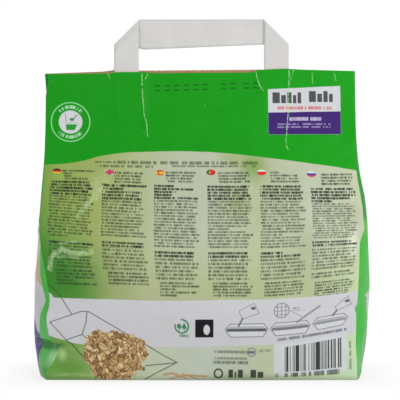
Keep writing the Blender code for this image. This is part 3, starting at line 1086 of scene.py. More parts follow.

# Soft patches of the meadow and the foot, some of them painted shade and painted highlights of folds: pixel x, y,
# radii, colour, strength
PATCHES_AND_PAINTED_LIGHT = (
    (52, 276, 66, 62, MEADOW_GREEN, 1.0),
    (40, 245, 30, 60, MEADOW_GREEN, 0.7),
    (253, 166, 22, 24, (128, 160, 74), 0.9),
    (236, 204, 22, 22, (158, 176, 112), 0.6),
    (99, 186, 16, 18, (184, 198, 140), 0.5),
    (62, 226, 34, 30, (126, 160, 74), 0.5),
    (232, 158, 20, 12, (156, 174, 110), 0.7),
    (66, 367, 40, 9, (92, 144, 54), 0.8),
    (250, 352, 18, 9, (168, 186, 124), 0.5),
    # painted shade in the fold over the bulge at the left foot
    (58, 345.6, 13, 4.6, (40, 112, 36), 0.9),
    (74, 352, 18, 7, (128, 164, 92), 0.5),
    # painted highlight on the bulge at the left foot
    (62, 354, 7, 8, (172, 204, 140), 0.8),
    (306, 246, 26, 42, (158, 170, 130), 0.6),
    # painted highlight on a fold at the right side
    (352, 243, 9, 22, (224, 230, 208), 0.9),
    (354, 214, 12, 20, (172, 176, 146), 0.6),
    # painted shade along the base, where the panel turns under
    (235, 378, 60, 8, (150, 165, 120), 0.7),
)


# Blocks of text in print rows: top, bottom, number of rows and style
HEAD, BOLD, SMALL, NOTE = (1.0, 0.25, 0.95), (1.0, 1.0, 0.0), (1.0, 0.0, 0.0), (1.0, 0.2, 0.34)
FIRST_COLUMN = (
    (171.7, 183.7, 4, HEAD), (184.6, 201.4, 5, BOLD), (201.4, 243.9, 14, SMALL), (247.6, 250.7, 1, BOLD),
    (250.7, 271.9, 7, SMALL), (272.8, 288.7, 5, NOTE),
)
SECOND_COLUMN = (
    (172.6, 185.6, 4, HEAD), (186.3, 203.3, 5, BOLD), (203.3, 240.4, 12, SMALL), (244.4, 250.4, 2, BOLD),
    (251.3, 272.4, 6, SMALL), (273.4, 287.0, 4, NOTE),
)
MIDDLE_COLUMNS = (
    (171.4, 183.2, 4, HEAD), (185.2, 200.4, 5, BOLD), (200.4, 248.6, 16, SMALL), (251.6, 258.4, 2, BOLD),
    (258.4, 280.8, 6, SMALL), (282.0, 297.2, 5, NOTE),
)
LAST_COLUMN = (
    (172.9, 185.4, 4, HEAD), (187.4, 203.0, 5, BOLD), (203.0, 240.0, 15, SMALL), (242.2, 248.8, 2, BOLD),
    (250.2, 274.0, 7, SMALL), (276.0, 282.6, 2, SMALL), (285.5, 302.4, 6, NOTE),
)
COLUMN_LEFTS = (52.3, 103.5, 154.3, 206.2, 257.3, 307.0)
COLUMN_WIDTH = 44.0
COLUMN_GAP = 3.0
TEXT_TOP, TEXT_BOTTOM = 165.0, 305.0
HEAD_INDENT = 12.0
LETTER, WORD = 0.95, 3.4
LINE_LOSS = 7.0


def block_rows(ink, blocks):
    """The number of the text row at each height, with a number of its own for every gap between blocks."""
    level = 0.0
    for i, (top, bottom, count, _) in enumerate(blocks):
        level = ink.plus(level, ink.map(ink.y, top, bottom, 0.0, float(count)))
        if i + 1 < len(blocks) and blocks[i + 1][0] > bottom:
            level = ink.plus(level, ink.map(ink.y, bottom, blocks[i + 1][0], 0.0, 1.0))
    return level


def block_styles(ink, blocks):
    """Shown, bold and indent at each height, as the three channels of one ramp with hard steps."""
    made = ink.node("ShaderNodeValToRGB")
    made.color_ramp.interpolation = "CONSTANT"
    stops = [(TEXT_TOP, (0.0, 0.0, 0.0))]
    for i, (top, bottom, _, style) in enumerate(blocks):
        stops.append((top, style))
        if i + 1 == len(blocks) or blocks[i + 1][0] > bottom:
            stops.append((bottom, (0.0, 0.0, 0.0)))
    elements = made.color_ramp.elements
    elements[0].position, elements[1].position = 0.0, (stops[-1][0] - TEXT_TOP) / (TEXT_BOTTOM - TEXT_TOP)
    for place, _ in stops[1:-1]:
        elements.new((place - TEXT_TOP) / (TEXT_BOTTOM - TEXT_TOP))
    for element, (_, style) in zip(elements, stops):
        element.color = (*style, 1.0)
    ink.put(made.inputs["Fac"], ink.map(ink.y, TEXT_TOP, TEXT_BOTTOM, 0.0, 1.0))
    return made.outputs["Color"]


def text_columns(ink):
    """Greeked text: rows of random marks in six columns."""
    column = 0.0
    start = COLUMN_LEFTS[0]
    for before, here in zip(COLUMN_LEFTS, COLUMN_LEFTS[1:]):
        passed = ink.over(ink.x, here - COLUMN_GAP, 0.01)
        start = ink.plus(ink.times(passed, here - before), start)
        column = ink.plus(passed, column)
    local = ink.minus(ink.x, start)
    level = block_rows(ink, FIRST_COLUMN)
    style = block_styles(ink, FIRST_COLUMN)
    for first, blocks in ((1, SECOND_COLUMN), (2, MIDDLE_COLUMNS), (5, LAST_COLUMN)):
        here = ink.over(column, first - 0.5, 0.01)
        level = ink.plus(ink.times(ink.minus(block_rows(ink, blocks), level), here), level)
        style = ink.lay(style, block_styles(ink, blocks), here)
    shown, bold, indent = ink.channels(style)

    row = ink.floor(level)
    within = ink.math("ABSOLUTE", ink.minus(ink.math("FRACT", level), 0.5))
    letter_at = ink.plus(ink.floor(ink.math("DIVIDE", local, LETTER)), ink.times(column, 61.0))
    word_at = ink.plus(ink.floor(ink.math("DIVIDE", local, WORD)), ink.times(column, 17.0))
    letter, word = ink.random(letter_at, row), ink.random(word_at, ink.plus(row, 0.5))
    gap = ink.math("LESS_THAN", letter, ink.math("MULTIPLY_ADD", ink.math("LESS_THAN", word, 0.22), 0.2, 0.06))
    tall = ink.math("MULTIPLY_ADD", letter, 0.14, ink.math("MULTIPLY_ADD", bold, 0.05, 0.23))
    mark = ink.under(within, tall, 0.2)
    full = ink.random(ink.plus(column, 0.5), ink.plus(row, 3.5))
    length = ink.math("MULTIPLY_ADD", full, LINE_LOSS, COLUMN_WIDTH - LINE_LOSS)
    short = ink.math("LESS_THAN", ink.random(ink.plus(column, 9.5), ink.plus(row, 1.5)), 0.1)
    length = ink.times(length, ink.math("MULTIPLY_ADD", short, -0.5, 1.0))
    span = ink.both(ink.over(local, ink.times(indent, HEAD_INDENT), 0.3), ink.under(local, length, 0.3), shown)
    tone = ink.math("MULTIPLY_ADD", letter, 0.5, ink.math("MULTIPLY_ADD", bold, 0.24, 0.32))
    return ink.both(mark, span, ink.minus(1.0, gap), tone)


def small_marks(ink, x0, y0, x1, y1, pitch, cell=1.2, seed=0.0, weight=0.3, gaps=0.22):
    """A few rows of random marks in a rectangle."""
    level = ink.math("DIVIDE", ink.minus(ink.y, y0), pitch)
    within = ink.math("ABSOLUTE", ink.minus(ink.math("FRACT", level), 0.5))
    mark = ink.random(ink.plus(ink.floor(ink.math("DIVIDE", ink.x, cell)), seed), ink.floor(level))
    shown = ink.math("GREATER_THAN", mark, gaps)
    tone = ink.math("MULTIPLY_ADD", mark, 0.5, 0.5)
    return ink.both(ink.under(within, weight, 0.15), shown, tone, ink.box(x0, y0, x1, y1, soft=0.2))


def blocks(ink, left, y, widths, height, gap):
    """Plain upright blocks in a row, every second one three quarters as high."""
    masks = []
    for i, width in enumerate(widths):
        top = y - height / 2 if i % 2 == 0 else y - height / 4
        masks.append(ink.box(left, top, left + width, y + height / 2, 0.6))
        left += width + gap
    return ink.either(*masks)


# Ovals at the head of each column: pixel place, base colour, then bars as (x0, y0, x1, y1, colour) from there
FLAGS = (
    ((56.8, 170.8), (196, 40, 40), ((-5, -4, 5, -0.9, (28, 26, 24)), (-5, 1.1, 5, 4, (228, 190, 60)))),
    ((109.6, 172.2), (150, 110, 140), (
        (-5, -0.8, 5, 0.8, (204, 44, 58)), (-0.9, -4, 0.9, 4, (204, 44, 58)),
        (-5, -2.6, -2.0, -1.4, (226, 190, 196)), (2.0, 1.4, 5, 2.6, (226, 190, 196)),
    )),
    ((160.1, 172.7), (204, 52, 44), ((-5, -1.2, 5, 1.4, (232, 190, 60)), (-2.6, -1.2, -1.0, 1.0, (150, 70, 50)))),
    ((210.9, 172.2), (204, 44, 50), ((-5, -4, -1.0, 4, (48, 96, 60)), (-2.0, -1.0, -0.2, 1.0, (196, 160, 70)))),
    ((261.6, 172.6), (208, 48, 54), ((-5, -4, 5, -0.8, (226, 224, 222)),)),
    ((311.4, 174.1), (62, 72, 150), ((-5, -4, 5, -1.1, (228, 226, 226)), (-5, 1.0, 5, 4, (208, 52, 58)))),
)
FLAG_RADII = (4.6, 2.8)


def flags(ink, colour):
    """A small oval with stripes at the head of each column."""
    for place, base, bars in FLAGS:
        x, y = spot(*place)
        inside = base
        for x0, y0, x1, y1, tone in bars:
            inside = ink.lay(inside, tone, ink.box(x + x0, y + y0, x + x1, y + y1, soft=0.5))
        colour = ink.lay(colour, inside, ink.ellipse(x, y, *FLAG_RADII))
    return colour


# The scoop drawn in thin lines, and the heap in it as ellipses, in pixels
SCOOP_LINES = (
    ((49, 285), (59, 293.5), (72, 314.5)),
    ((50, 322), (72, 314.5), (81, 311.4), (88, 311.4), (134, 338.5), (177, 362.5), (145, 379)),
    ((87, 311.4), (86, 322), (82, 334.5), (66, 340)),
    ((50, 322), (66, 340), (88, 361), (96, 379)),
    ((82, 334.5), (90, 342)),
    ((176, 362.8), (146, 365.5)),
)
HEAP = (
    (117, 355, 28, 23), (101, 344, 15, 15), (131, 352, 17, 15), (110, 368, 19, 11), (96, 352, 12, 14),
)


def heap_mask(ink):
    """A heap of pellets: overlapping ellipses with a ragged edge."""
    ragged = ink.times(ink.minus(ink.noise(60.0, 1.0, ink.at), 0.5), 0.6)
    masks = []
    for x, y, rx, ry in HEAP:
        masks.append(ink.under(ink.plus(ink.reach(*spot(x, y), rx, ry), ragged), 1.0, 0.04))
    return ink.either(*masks)


# Pellets: the turn of each layer in degrees, a pellet's length and width in pixels
PELLET_TURNS = (-35.0, 25.0, 80.0)
PELLET_LENGTH, PELLET_WIDTH = 5.8, 3.3
PELLET_BEND = 4.0
PELLET_PATCH = 0.12


def pellet_colour(ink):
    """Short pellets that lie every way, light on top and dark between."""
    colour = None
    x = ink.math("MULTIPLY_ADD", ink.noise(55.0, 1.0, ink.at), PELLET_BEND, ink.x)
    y = ink.math("MULTIPLY_ADD", ink.noise(47.0, 1.0, ink.at), PELLET_BEND, ink.y)
    for i, turn in enumerate(PELLET_TURNS):
        c, s = math.cos(math.radians(turn)), math.sin(math.radians(turn))
        along = ink.math("DIVIDE", ink.plus(ink.times(x, c), ink.times(y, s)), PELLET_LENGTH)
        aside = ink.math("DIVIDE", ink.minus(ink.times(y, c), ink.times(x, s)), PELLET_WIDTH)
        cells = ink.cells(ink.vector(along, aside), 1.0, "F1").outputs["Color"]
        edge = ink.cells(ink.vector(along, aside), 1.0, "DISTANCE_TO_EDGE").outputs["Distance"]
        body = ink.ramp(ink.channels(cells)[0], (
            (0.0, (120, 88, 54)), (0.25, (168, 132, 86)), (0.6, (200, 166, 116)), (1.0, (226, 200, 154)),
        ))
        body = ink.lay(body, (64, 42, 24), ink.under(edge, 0.07, 0.20))
        if colour is None:
            colour = body
        else:
            patch = ink.cells(ink.vector(ink.plus(ink.x, 37.0 * i), ink.y), PELLET_PATCH, "F1").outputs["Color"]
            colour = ink.lay(colour, body, ink.math("GREATER_THAN", ink.channels(patch)[0], 0.55))
    return colour


# The badge: its centre in pixels, and in print pixels its ring, its disc and the marks between them
BADGE_AT = (70.6, 121.9)
BADGE_RING = 19.3
BADGE_DISC = (11.8, 11.5)
BADGE_MARKS = (13.4, 16.6)
BADGE_ARC = 0.82


def badge(ink, colour):
    """A thin ring round a pale disc with a plain bowl, and greeked marks in the ring."""
    x, y = spot(*BADGE_AT)
    colour = ink.lay(colour, (142, 218, 150), ink.ring(x, y, BADGE_RING, 1.0))
    colour = ink.lay(colour, (204, 206, 207), ink.ellipse(x, y, *BADGE_DISC))
    angle = ink.math("ARCTAN2", ink.minus(ink.y, y), ink.minus(ink.x, x))
    cell = ink.random(ink.floor(ink.times(angle, 17.0)), 5.0)
    away = ink.reach(x, y, 1.0, 1.0)
    side = ink.math("ABSOLUTE", ink.minus(ink.math("ABSOLUTE", angle), math.pi / 2))
    inner, outer = BADGE_MARKS
    arc = ink.both(ink.over(away, inner), ink.under(away, outer), ink.under(side, BADGE_ARC, 0.05))
    colour = ink.lay(colour, (176, 228, 186), ink.both(arc, ink.math("GREATER_THAN", cell, 0.3)), 0.75)
    bowl = ink.polygon(((x - 4.6, y + 2.2), (x + 6.8, y + 2.2), (x + 4.2, y + 8.0), (x - 4.2, y + 8.0)))
    rim = ink.stroke((x - 4.8, y + 0.6), (x + 7.0, y + 0.6), 0.7)
    back = ink.stroke((x - 5.2, y - 8.0), (x - 4.8, y - 0.5), 0.8)
    stick = ink.stroke((x + 6.6, y - 7.2), (x + 2.8, y - 3.4), 0.9)
    spoon = ink.either(stick, ink.ellipse(x + 1.2, y - 2.6, 2.3, 1.5))
    colour = ink.lay(colour, (36, 146, 50), bowl)
    colour = ink.lay(colour, (150, 200, 160), rim)
    return ink.lay(colour, (80, 120, 96), ink.either(ink.times(back, 0.7), spoon))


# The plate: corners in pixels, its top's slope and where its colours meet. From its corner: blocks as left,
# middle and widths, and rows of marks as a box, then pitch, cell, seed and weight, colour and strength
PLATE_CORNERS = ((267.9, 89.2), (341.0, 134.4))
PLATE_SLOPE = -0.045
PLATE_SPLIT = 23.4
PLATE_BLOCKS = ((4.4, 8.6, (7.4, 4.8, 4.4, 3.4, 3.6)), (41.0, 7.4, (7.0, 4.8, 4.4, 3.8)))
PLATE_BLOCK_HEIGHT, PLATE_BLOCK_GAP = 11.0, 1.3
PLATE_ROWS = (
    ((9.0, 16.6, 65.0, 21.0), (4.4, 1.7, 3.0, 0.36), (206, 60, 66), 0.75),
    ((19.0, 27.6, 53.0, 32.2), (4.6, 1.9, 8.0, 0.38), (206, 200, 222), 0.8),
    ((9.0, 33.6, 62.0, 39.4), (2.9, 1.3, 3.0, 0.28), (176, 166, 204), 0.65),
)


def label(ink, colour):
    """A two-coloured plate with greeked marks: white above and purple below."""
    (x0, y0), (x1, y1) = spots(PLATE_CORNERS)
    slope = ink.times(ink.minus(ink.x, x0), PLATE_SLOPE)
    upper = ink.over(ink.y, ink.plus(slope, y0), 0.6)
    plate = ink.both(ink.box(x0, y0 - 5.0, x1, y1, 1.6), upper)
    colour = ink.lay(colour, PLATE_WHITE, plate)
    purple = ink.both(plate, ink.over(ink.y, ink.plus(ink.times(slope, 0.4), y0 + PLATE_SPLIT)))
    colour = ink.lay(colour, PURPLE, purple)
    heading = []
    for left, middle, widths in PLATE_BLOCKS:
        heading.append(blocks(ink, x0 + left, y0 + middle, widths, PLATE_BLOCK_HEIGHT, PLATE_BLOCK_GAP))
    colour = ink.lay(colour, (26, 26, 30), ink.either(*heading), 0.9)
    for (left, top, right, bottom), marks, tone, strength in PLATE_ROWS:
        rows = small_marks(ink, x0 + left, y0 + top, x0 + right, y0 + bottom, *marks)
        colour = ink.lay(colour, tone, rows, strength)
    return colour


# Pairs of short dark bars on the top field: left ends in pixels, and their length and heights in print pixels
BAR_PAIRS = (
    (155, 88.2), (164.5, 88), (174, 87.7), (183.5, 87.5), (193, 87.2), (202.5, 87), (221, 86.4),
    (230.5, 86), (243.5, 85.6), (253, 85.4),
)
PAIR_LENGTH = 5.4
PAIR_HEIGHTS = ((-3.0, -1.7), (1.7, 3.0))


def stamp(ink, colour):
    """Pairs of short dark bars, rising to the right."""
    marks = []
    for x, y in spots(BAR_PAIRS):
        marks += [ink.box(x, y + top, x + PAIR_LENGTH, y + bottom) for top, bottom in PAIR_HEIGHTS]
    return ink.lay(colour, (14, 56, 20), ink.either(*marks), 0.8)


# Trays on the white band, by the pixels of their left and right ends, and how dark the litter in each is
TRAYS = (((225.2, 329.6), (267.8, 328.7)), ((270.3, 328.7), (310.2, 325.0)), ((312.8, 323.6), (347.5, 317.3)))
LITTER_STRENGTHS = (0.95, 0.8, 0.6)
TRAY_RISE, TRAY_DROP = 5.4, 7.4


def trays(ink, colour):
    """Three trays with litter in them: one being filled, one with a scoop and a sieve sign and one topped up,
    though the bags, sign and scoop over them are drawn by feeders.
    """
    for (left, right), strength in zip(TRAYS, LITTER_STRENGTHS):
        (x0, y0), (x1, y1) = spot(*left), spot(*right)
        middle = (y0 + y1) / 2
        slant = (y1 - y0) / (x1 - x0)
        rim = (
            (x0, y0), (x0 + 5.0, y0 - TRAY_RISE), (x1 - 4.0, y1 - TRAY_RISE), (x1, y1),
            (x1 - 4.6, y1 + TRAY_DROP), (x0 + 5.4, y0 + TRAY_DROP),
        )
        colour = ink.lay(colour, (212, 213, 216), ink.polygon(rim), 0.6)
        colour = ink.lay(colour, LINE_GREY, ink.path((*rim, rim[0]), 0.75), 0.9)
        line = ink.plus(ink.times(ink.minus(ink.x, x0), slant), y0 + 0.6)
        depth = ink.minus(ink.y, line)
        layer = ink.under(ink.math("ABSOLUTE", depth), 1.5, 1.0)
        litter = ink.both(layer, ink.box(x0 + 1.6, middle - 6, x1 - 1.6, middle + 6))
        colour = ink.lay(colour, (70, 72, 76), litter, strength)
        crest = ink.under(ink.math("ABSOLUTE", ink.plus(depth, 2.6)), 0.9, 1.0)
        crest = ink.both(crest, ink.box(x0 + 4, middle - 6, x1 - 4, middle + 6))
        colour = ink.lay(colour, (150, 152, 158), crest, 0.7)
    return colour


# Over the trays, in pixels. Each bag has its corners, the end of what it pours, and a dark spot
POURING_BAGS = (
    (((239.0, 311.3), (253.8, 303.3), (259.3, 313.4), (242.4, 319.0)), (238.6, 326.0), (253.4, 308.4)),
    (((335.2, 306.2), (348.0, 295.8), (351.4, 304.1), (336.5, 310.5)), (332.6, 315.2), (347.1, 300.7)),
)
SIEVE_AT = (281.6, 310.5)
SIEVE_RADIUS = 7.3
SIEVE_MESH = ((-4, 0, 4), (-3.4, 0.4, 4.2))
SIEVE_LINE_END = (301.3, 316.0)
SIEVE_MARKS = ((292.5, 307.0), (302.0, 309.8))
SMALL_SCOOP = ((319.5, 306.2), (306.0, 315.4), (297.0, 321.6))


def feeders(ink, colour):
    """What is over the trays: two bags that pour, a sieve sign and a scoop."""
    for bag, mouth, blob in POURING_BAGS:
        corners = spots(bag)
        colour = ink.lay(colour, LINE_GREY, ink.path((*corners, corners[0]), 0.6), 0.8)
        colour = ink.lay(colour, LINE_GREY, ink.stroke(corners[3], spot(*mouth), 1.8), 0.9)
        colour = ink.lay(colour, (74, 78, 84), ink.ellipse(*spot(*blob), 2.4, 1.6), 0.9)
    x, y = spot(*SIEVE_AT)
    upright, level = SIEVE_MESH
    mesh = ink.either(*(ink.stroke((x + d, y - 6), (x + d, y + 6), 0.6) for d in upright),
                      *(ink.stroke((x - 6, y + d), (x + 6, y + d), 0.6) for d in level))
    inside = ink.both(mesh, ink.ellipse(x, y, SIEVE_RADIUS, SIEVE_RADIUS))
    colour = ink.lay(colour, LINE_GREY, ink.either(ink.ring(x, y, SIEVE_RADIUS, 0.8), inside), 0.85)
    colour = ink.lay(colour, LINE_GREY, ink.stroke((x + 7, y), spot(*SIEVE_LINE_END), 0.5), 0.8)
    colour = ink.lay(colour, (110, 114, 120), ink.path(spots(SMALL_SCOOP), 2.2), 0.7)
    (x0, y0), (x1, y1) = spots(SIEVE_MARKS)
    return ink.lay(colour, (80, 84, 88), small_marks(ink, x0, y0, x1, y1, 2.8, 1.3, 4.0), 0.7)


# Left of the trays, in pixels
LEAF_RING_AT = (181.7, 326.4)
LEAF_RING_RADIUS = 6.7
LEAF_RING_MARKS = ((174.5, 333.4), (189, 337.6))
SQUARE = ((195.2, 319.4), (213.4, 337.4))


def band_signs(ink, colour):
    """An open ring with plain leaves in it, and a dark square with an oval."""
    x, y = spot(*LEAF_RING_AT)
    open_ring = ink.without(ink.ring(x, y, LEAF_RING_RADIUS, 1.6), ink.box(x - 8, y - 8, x - 1, y - 2))
    leaves = ink.either(ink.ellipse(x - 2.6, y, 2.3, 2.4),
                        ink.polygon(((x + 2.4, y - 3.8), (x + 5.6, y + 2.2), (x - 0.6, y + 2.2))))
    stalks = ink.either(*(ink.stroke((x + d, y + 1), (x + d, y + 4.4), 1.0) for d in (-2.6, 2.5)))
    colour = ink.lay(colour, (24, 124, 74), ink.either(open_ring, leaves, stalks), 0.95)
    (x0, y0), (x1, y1) = spots(LEAF_RING_MARKS)
    colour = ink.lay(colour, (36, 120, 78), small_marks(ink, x0, y0, x1, y1, 4.2, 2.6, 2.0, 0.3), 0.8)
    (x0, y0), (x1, y1) = spots(SQUARE)
    colour = ink.lay(colour, DARK, ink.box(x0, y0, x1, y1, 0.7))
    return ink.lay(colour, PLATE_WHITE, ink.ellipse((x0 + x1) / 2 + 2.4, (y0 + y1) / 2 + 1.4, 3.2, 5.0))


# At the foot, in pixels: the pale box, the upright bars in it, the marks right of it, and the row over it,
# which is in print pixels. The short rows are two corners, a cell and a strength
BAR_BOX = ((274.0, 344.6), (347.0, 370.6))
BARS = ((283.6, 347.2), (341.6, 367.0))
BAR_CELL = 0.72
UPRIGHT_MARKS = ((349.0, 340.0), (351.6, 369.0))
LONG_ROW = (275.0, 338.9, 344.5, 342.9)
SHORT_ROWS = (
    ((213, 350.2), (246, 353.6), 1.2, 0.65), ((259, 349.4), (271, 352.0), 1.1, 0.5),
    ((213, 357.0), (247, 359.8), 1.2, 0.6), ((213, 360.6), (248, 364.4), 1.6, 0.75),
)
SEAL_AT = (251.5, 352.0)
BOLD_ROW_AT = (218.4, 373.6)


def foot_signs(ink, colour):
    """Rows of marks, a bold row of blocks, and random upright bars in a pale box."""
    (x0, y0), (x1, y1) = spots(BAR_BOX)
    colour = ink.lay(colour, (206, 210, 214), ink.box(x0, y0, x1, y1, 0.0, 1.0), 0.9)
    (x0, y0), (x1, y1) = spots(BARS)
    fine = ink.random(ink.floor(ink.math("DIVIDE", ink.x, BAR_CELL)), 4.0)
    bar = ink.math("GREATER_THAN", fine, 0.5)
    colour = ink.lay(colour, BAR_BLACK, ink.both(bar, ink.box(x0, y0, x1, y1)), 0.95)
    for left, right, cell, seed, gaps in ((x0 + 1, x1 - 2, 2.6, 7.0, 0.12), (x0 - 9, x0 - 5, 4.0, 1.0, 0.0)):
        marks = small_marks(ink, left, y1 + 0.6, right, y1 + 5.2, 4.6, cell, seed, 0.4, gaps)
        colour = ink.lay(colour, DIGIT_GREY, marks, 0.85)
    upright = ink.random(ink.floor(ink.math("DIVIDE", ink.y, 1.3)), 12.0)
    (x0, y0), (x1, y1) = spots(UPRIGHT_MARKS)
    side_marks = ink.both(ink.math("GREATER_THAN", upright, 0.25), ink.box(x0, y0, x1, y1))
    colour = ink.lay(colour, INK, side_marks, 0.5)
    colour = ink.lay(colour, (56, 62, 74), small_marks(ink, *LONG_ROW, 4.0, 1.9, 2.0, 0.36, 0.14), 0.75)
    for (left, top), end, cell, strength in SHORT_ROWS:
        x0, y0 = spot(left, top)
        x1, y1 = spot(*end)
        marks = small_marks(ink, x0, y0, x1, y1, y1 - y0, cell, left, 0.42, 0.15)
        colour = ink.lay(colour, INK, marks, strength)
    x, y = spot(*SEAL_AT)
    seal = ink.either(ink.ring(x, y, 4.0, 0.8), ink.box(x - 4.6, y - 1.2, x + 3.0, y + 1.4, 0.4))
    colour = ink.lay(colour, (60, 62, 140), seal, 0.8)
    x, y = spot(*BOLD_ROW_AT)
    bold = ink.either(ink.ring(x, y, 4.0, 1.7), blocks(ink, x + 10.0, y, (4.6, 1.6, 5.0), 8.0, 1.6),
                      blocks(ink, x + 32.0, y, (5.6, 5.6), 8.0, 1.6))
    return ink.lay(colour, (28, 32, 28), bold, 0.92)


# Worn lines where the flat top was creased: the line as (pixel y, pixel x), its ends and width, all in pixels
WORN_LINES = (
    (((72, 141.8), (95, 142.6), (115, 144.2), (124, 146.8), (137, 147.4)), 74, 137, 0.8),
    (((70, 289.3), (87, 288.5), (115, 288), (135, 286.4), (142, 286), (150, 289.4)), 70, 150, 0.8),
    (((70, 293.6), (80, 290.2)), 70, 80, 0.7),
    (((72, 312.2), (84, 312.7)), 72, 84, 0.6),
    (((73, 334.0), (81, 336.0)), 73, 81, 0.6),
    (((74, 107.6), (79.5, 110.6)), 73, 79.5, 0.8),
    (((73, 148.2), (80, 145.0)), 74, 80, 0.8),
    (((70, 255.6), (82, 258.4), (91, 263.6)), 70, 91, 0.8),
)

# Folds where the ink has cracked pale, which also stand as painted highlights where folds catch the light, the
# last one along the base: the line in pixels, width and strength
CRACKS_AND_HIGHLIGHTS = (
    (((49.8, 268), (50.6, 260), (55, 253), (62, 249.5), (70, 252.5), (80, 253.5), (91, 252)), 4.6, 0.62),
    (((60, 243.5), (68, 242.6), (76, 241.8)), 1.8, 0.6),
    (((57, 257), (66, 256), (78, 258)), 2.4, 0.45),
    (((107, 252.5), (113, 252)), 2.4, 0.7),
    (((105.4, 170), (103.6, 180), (98.6, 192), (96, 200)), 1.3, 0.65),
    (((99, 190), (93, 198), (85, 207), (77, 216)), 4.4, 0.42),
    (((118, 186), (127, 176), (134, 170)), 1.2, 0.3),
    (((110, 200), (108, 206), (104, 213)), 1.4, 0.35),
    (((55, 375.4), (75, 374.8), (95, 375.6)), 1.6, 0.4),
)


def worn_and_highlights(ink, colour):
    """Ink rubbed off along creases, in broken lines, and in specks on the flat top, and pale strokes on folds
    that are partly cracked ink and partly painted highlight.
    """
    broken = ink.over(ink.noise(120.0, 2.0, ink.at), 0.42, 0.16)
    jitter = ink.times(ink.minus(ink.noise(150.0, 2.0, ink.at), 0.5), 2.4)
    masks = []
    for line, start, end, width in WORN_LINES:
        turned = [spot(x, y)[::-1] for y, x in line]
        gap = ink.math("ABSOLUTE", ink.plus(ink.minus(ink.x, ink.curve(ink.y, turned)), jitter))
        masks.append(ink.both(ink.under(gap, width / 2, 0.7), ink.over(ink.y, start), ink.under(ink.y, end)))
    lines = ink.times(ink.either(*masks), broken)
    specks = ink.times(ink.over(ink.noise(210.0, 1.0, ink.at), 0.79, 0.04), ink.under(ink.y, 150))
    colour = ink.lay(colour, WORN, ink.either(lines, specks), 0.85)
    ragged = ink.over(ink.noise(90.0, 2.0, ink.at), 0.42, 0.3)
    # pale strokes along folds: partly cracked ink, partly painted highlight where the folds catch the light
    for line, width, strength in CRACKS_AND_HIGHLIGHTS:
        colour = ink.lay(colour, CRACK_AND_HIGHLIGHT_GREEN, ink.times(ink.path(spots(line), width, 1.8), ragged), strength)
    return colour


# The headline's rows: two corners in pixels, then pitch, cell, seed, weight and share of gaps
HEADLINE = (
    ((117, 160.2), (258, 164.6), (4.6, 1.8, 5.0, 0.40, 0.16)),
    ((95, 160.6), (116, 163.4), (2.6, 1.4, 2.0, 0.34)),
    ((98, 164.2), (153, 168.4), (3.6, 1.5, 9.0, 0.34)),
    ((172, 164.8), (256, 167.2), (2.6, 1.3, 9.0, 0.34)),
)


def text(ink, colour):
    """The columns, and a headline in two lines over them."""
    colour = ink.lay(colour, INK, text_columns(ink))
    rows = [small_marks(ink, *spot(*start), *spot(*end), *marks) for start, end, marks in HEADLINE]
    return ink.lay(colour, INK, ink.either(*rows), 0.72)


def top_and_band(ink, colour):
    """Green above the arch, and the white band."""
    mottle = ink.noise(9.0, 2.0, ink.at)
    # the top green's climb to the right is partly painted light
    green = ink.lay(ink.ramp(ink.x, TOP_GREEN, 45, 355), (4, 138, 6), ink.over(mottle, 0.62, 0.3), 0.4)
    colour = ink.lay(colour, green, ink.under(ink.y, ink.curve(ink.x, spots(ARCH))))
    below_upper = ink.over(ink.y, ink.curve(ink.x, spots(BAND_UPPER)))
    band = ink.both(below_upper, ink.under(ink.y, ink.curve(ink.x, spots(BAND_LOWER))))
    return ink.lay(colour, BAND_WHITE, band)


# Shavings at the foot: each line in pixels, and its width
SHAVINGS = (
    (((164.5, 374.5), (172, 373.2), (186, 377.8)), 2.0),
    (((170, 378.6), (186, 375), (206, 376.4)), 1.6),
    (((182, 373.8), (198, 378.8)), 1.3),
)


def scoop(ink, colour):
    """A scoop in thin lines with a heap of pellets, and shavings beside it."""
    lines = ink.either(*(ink.path(spots(line), 0.9, 0.6) for line in SCOOP_LINES))
    colour = ink.lay(colour, (44, 52, 48), lines, 0.9)
    colour = ink.lay(colour, pellet_colour(ink), heap_mask(ink))
    shavings = ink.either(*(ink.path(spots(line), width) for line, width in SHAVINGS))
    return ink.lay(colour, (178, 136, 98), shavings, 0.85)


# What each of the near panel's three materials shows, from the top down
NEAR_PRINTS = (
    ("top_print", 0, NEAR_SPLITS[0], (top_and_band, badge, label, stamp, worn_and_highlights)),
    ("text_print", *NEAR_SPLITS, (text, flags, top_and_band, scoop, worn_and_highlights)),
    ("foot_print", NEAR_SPLITS[1], PHOTO, (top_and_band, scoop, band_signs, trays, feeders, foot_signs, worn_and_highlights)),
)


def near_print(name, high, low, parts):
    """A part of the text panel: its fields of colour, and the signs on them."""
    ink = Ink(name, PRINT_ROUGHNESS)
    ink.use_print_map()
    across = ink.ramp(ink.x, MEADOW_ACROSS, *FIELD_ENDS)
    low_down = ink.ramp(ink.x, MEADOW_LOW, *FIELD_ENDS)
    colour = ink.lay(across, low_down, ink.over(ink.y, LOW_START, LOW_BLEND))
    foot = ink.over(ink.y, ink.curve(ink.x, spots(BAND_LOWER)))
    colour = ink.lay(colour, ink.ramp(ink.x, FOOT_ACROSS, *FIELD_ENDS), foot)
    for x, y, rx, ry, tone, strength in PATCHES_AND_PAINTED_LIGHT:
        if high - 2 * ry < y < low + 2 * ry:
            colour = ink.lay(colour, tone, ink.glow(*spot(x, y), rx, ry), strength)
    for part in parts:
        colour = ink.section(part, colour)
    return ink.finish(colour, *PRINT_FIBRE)


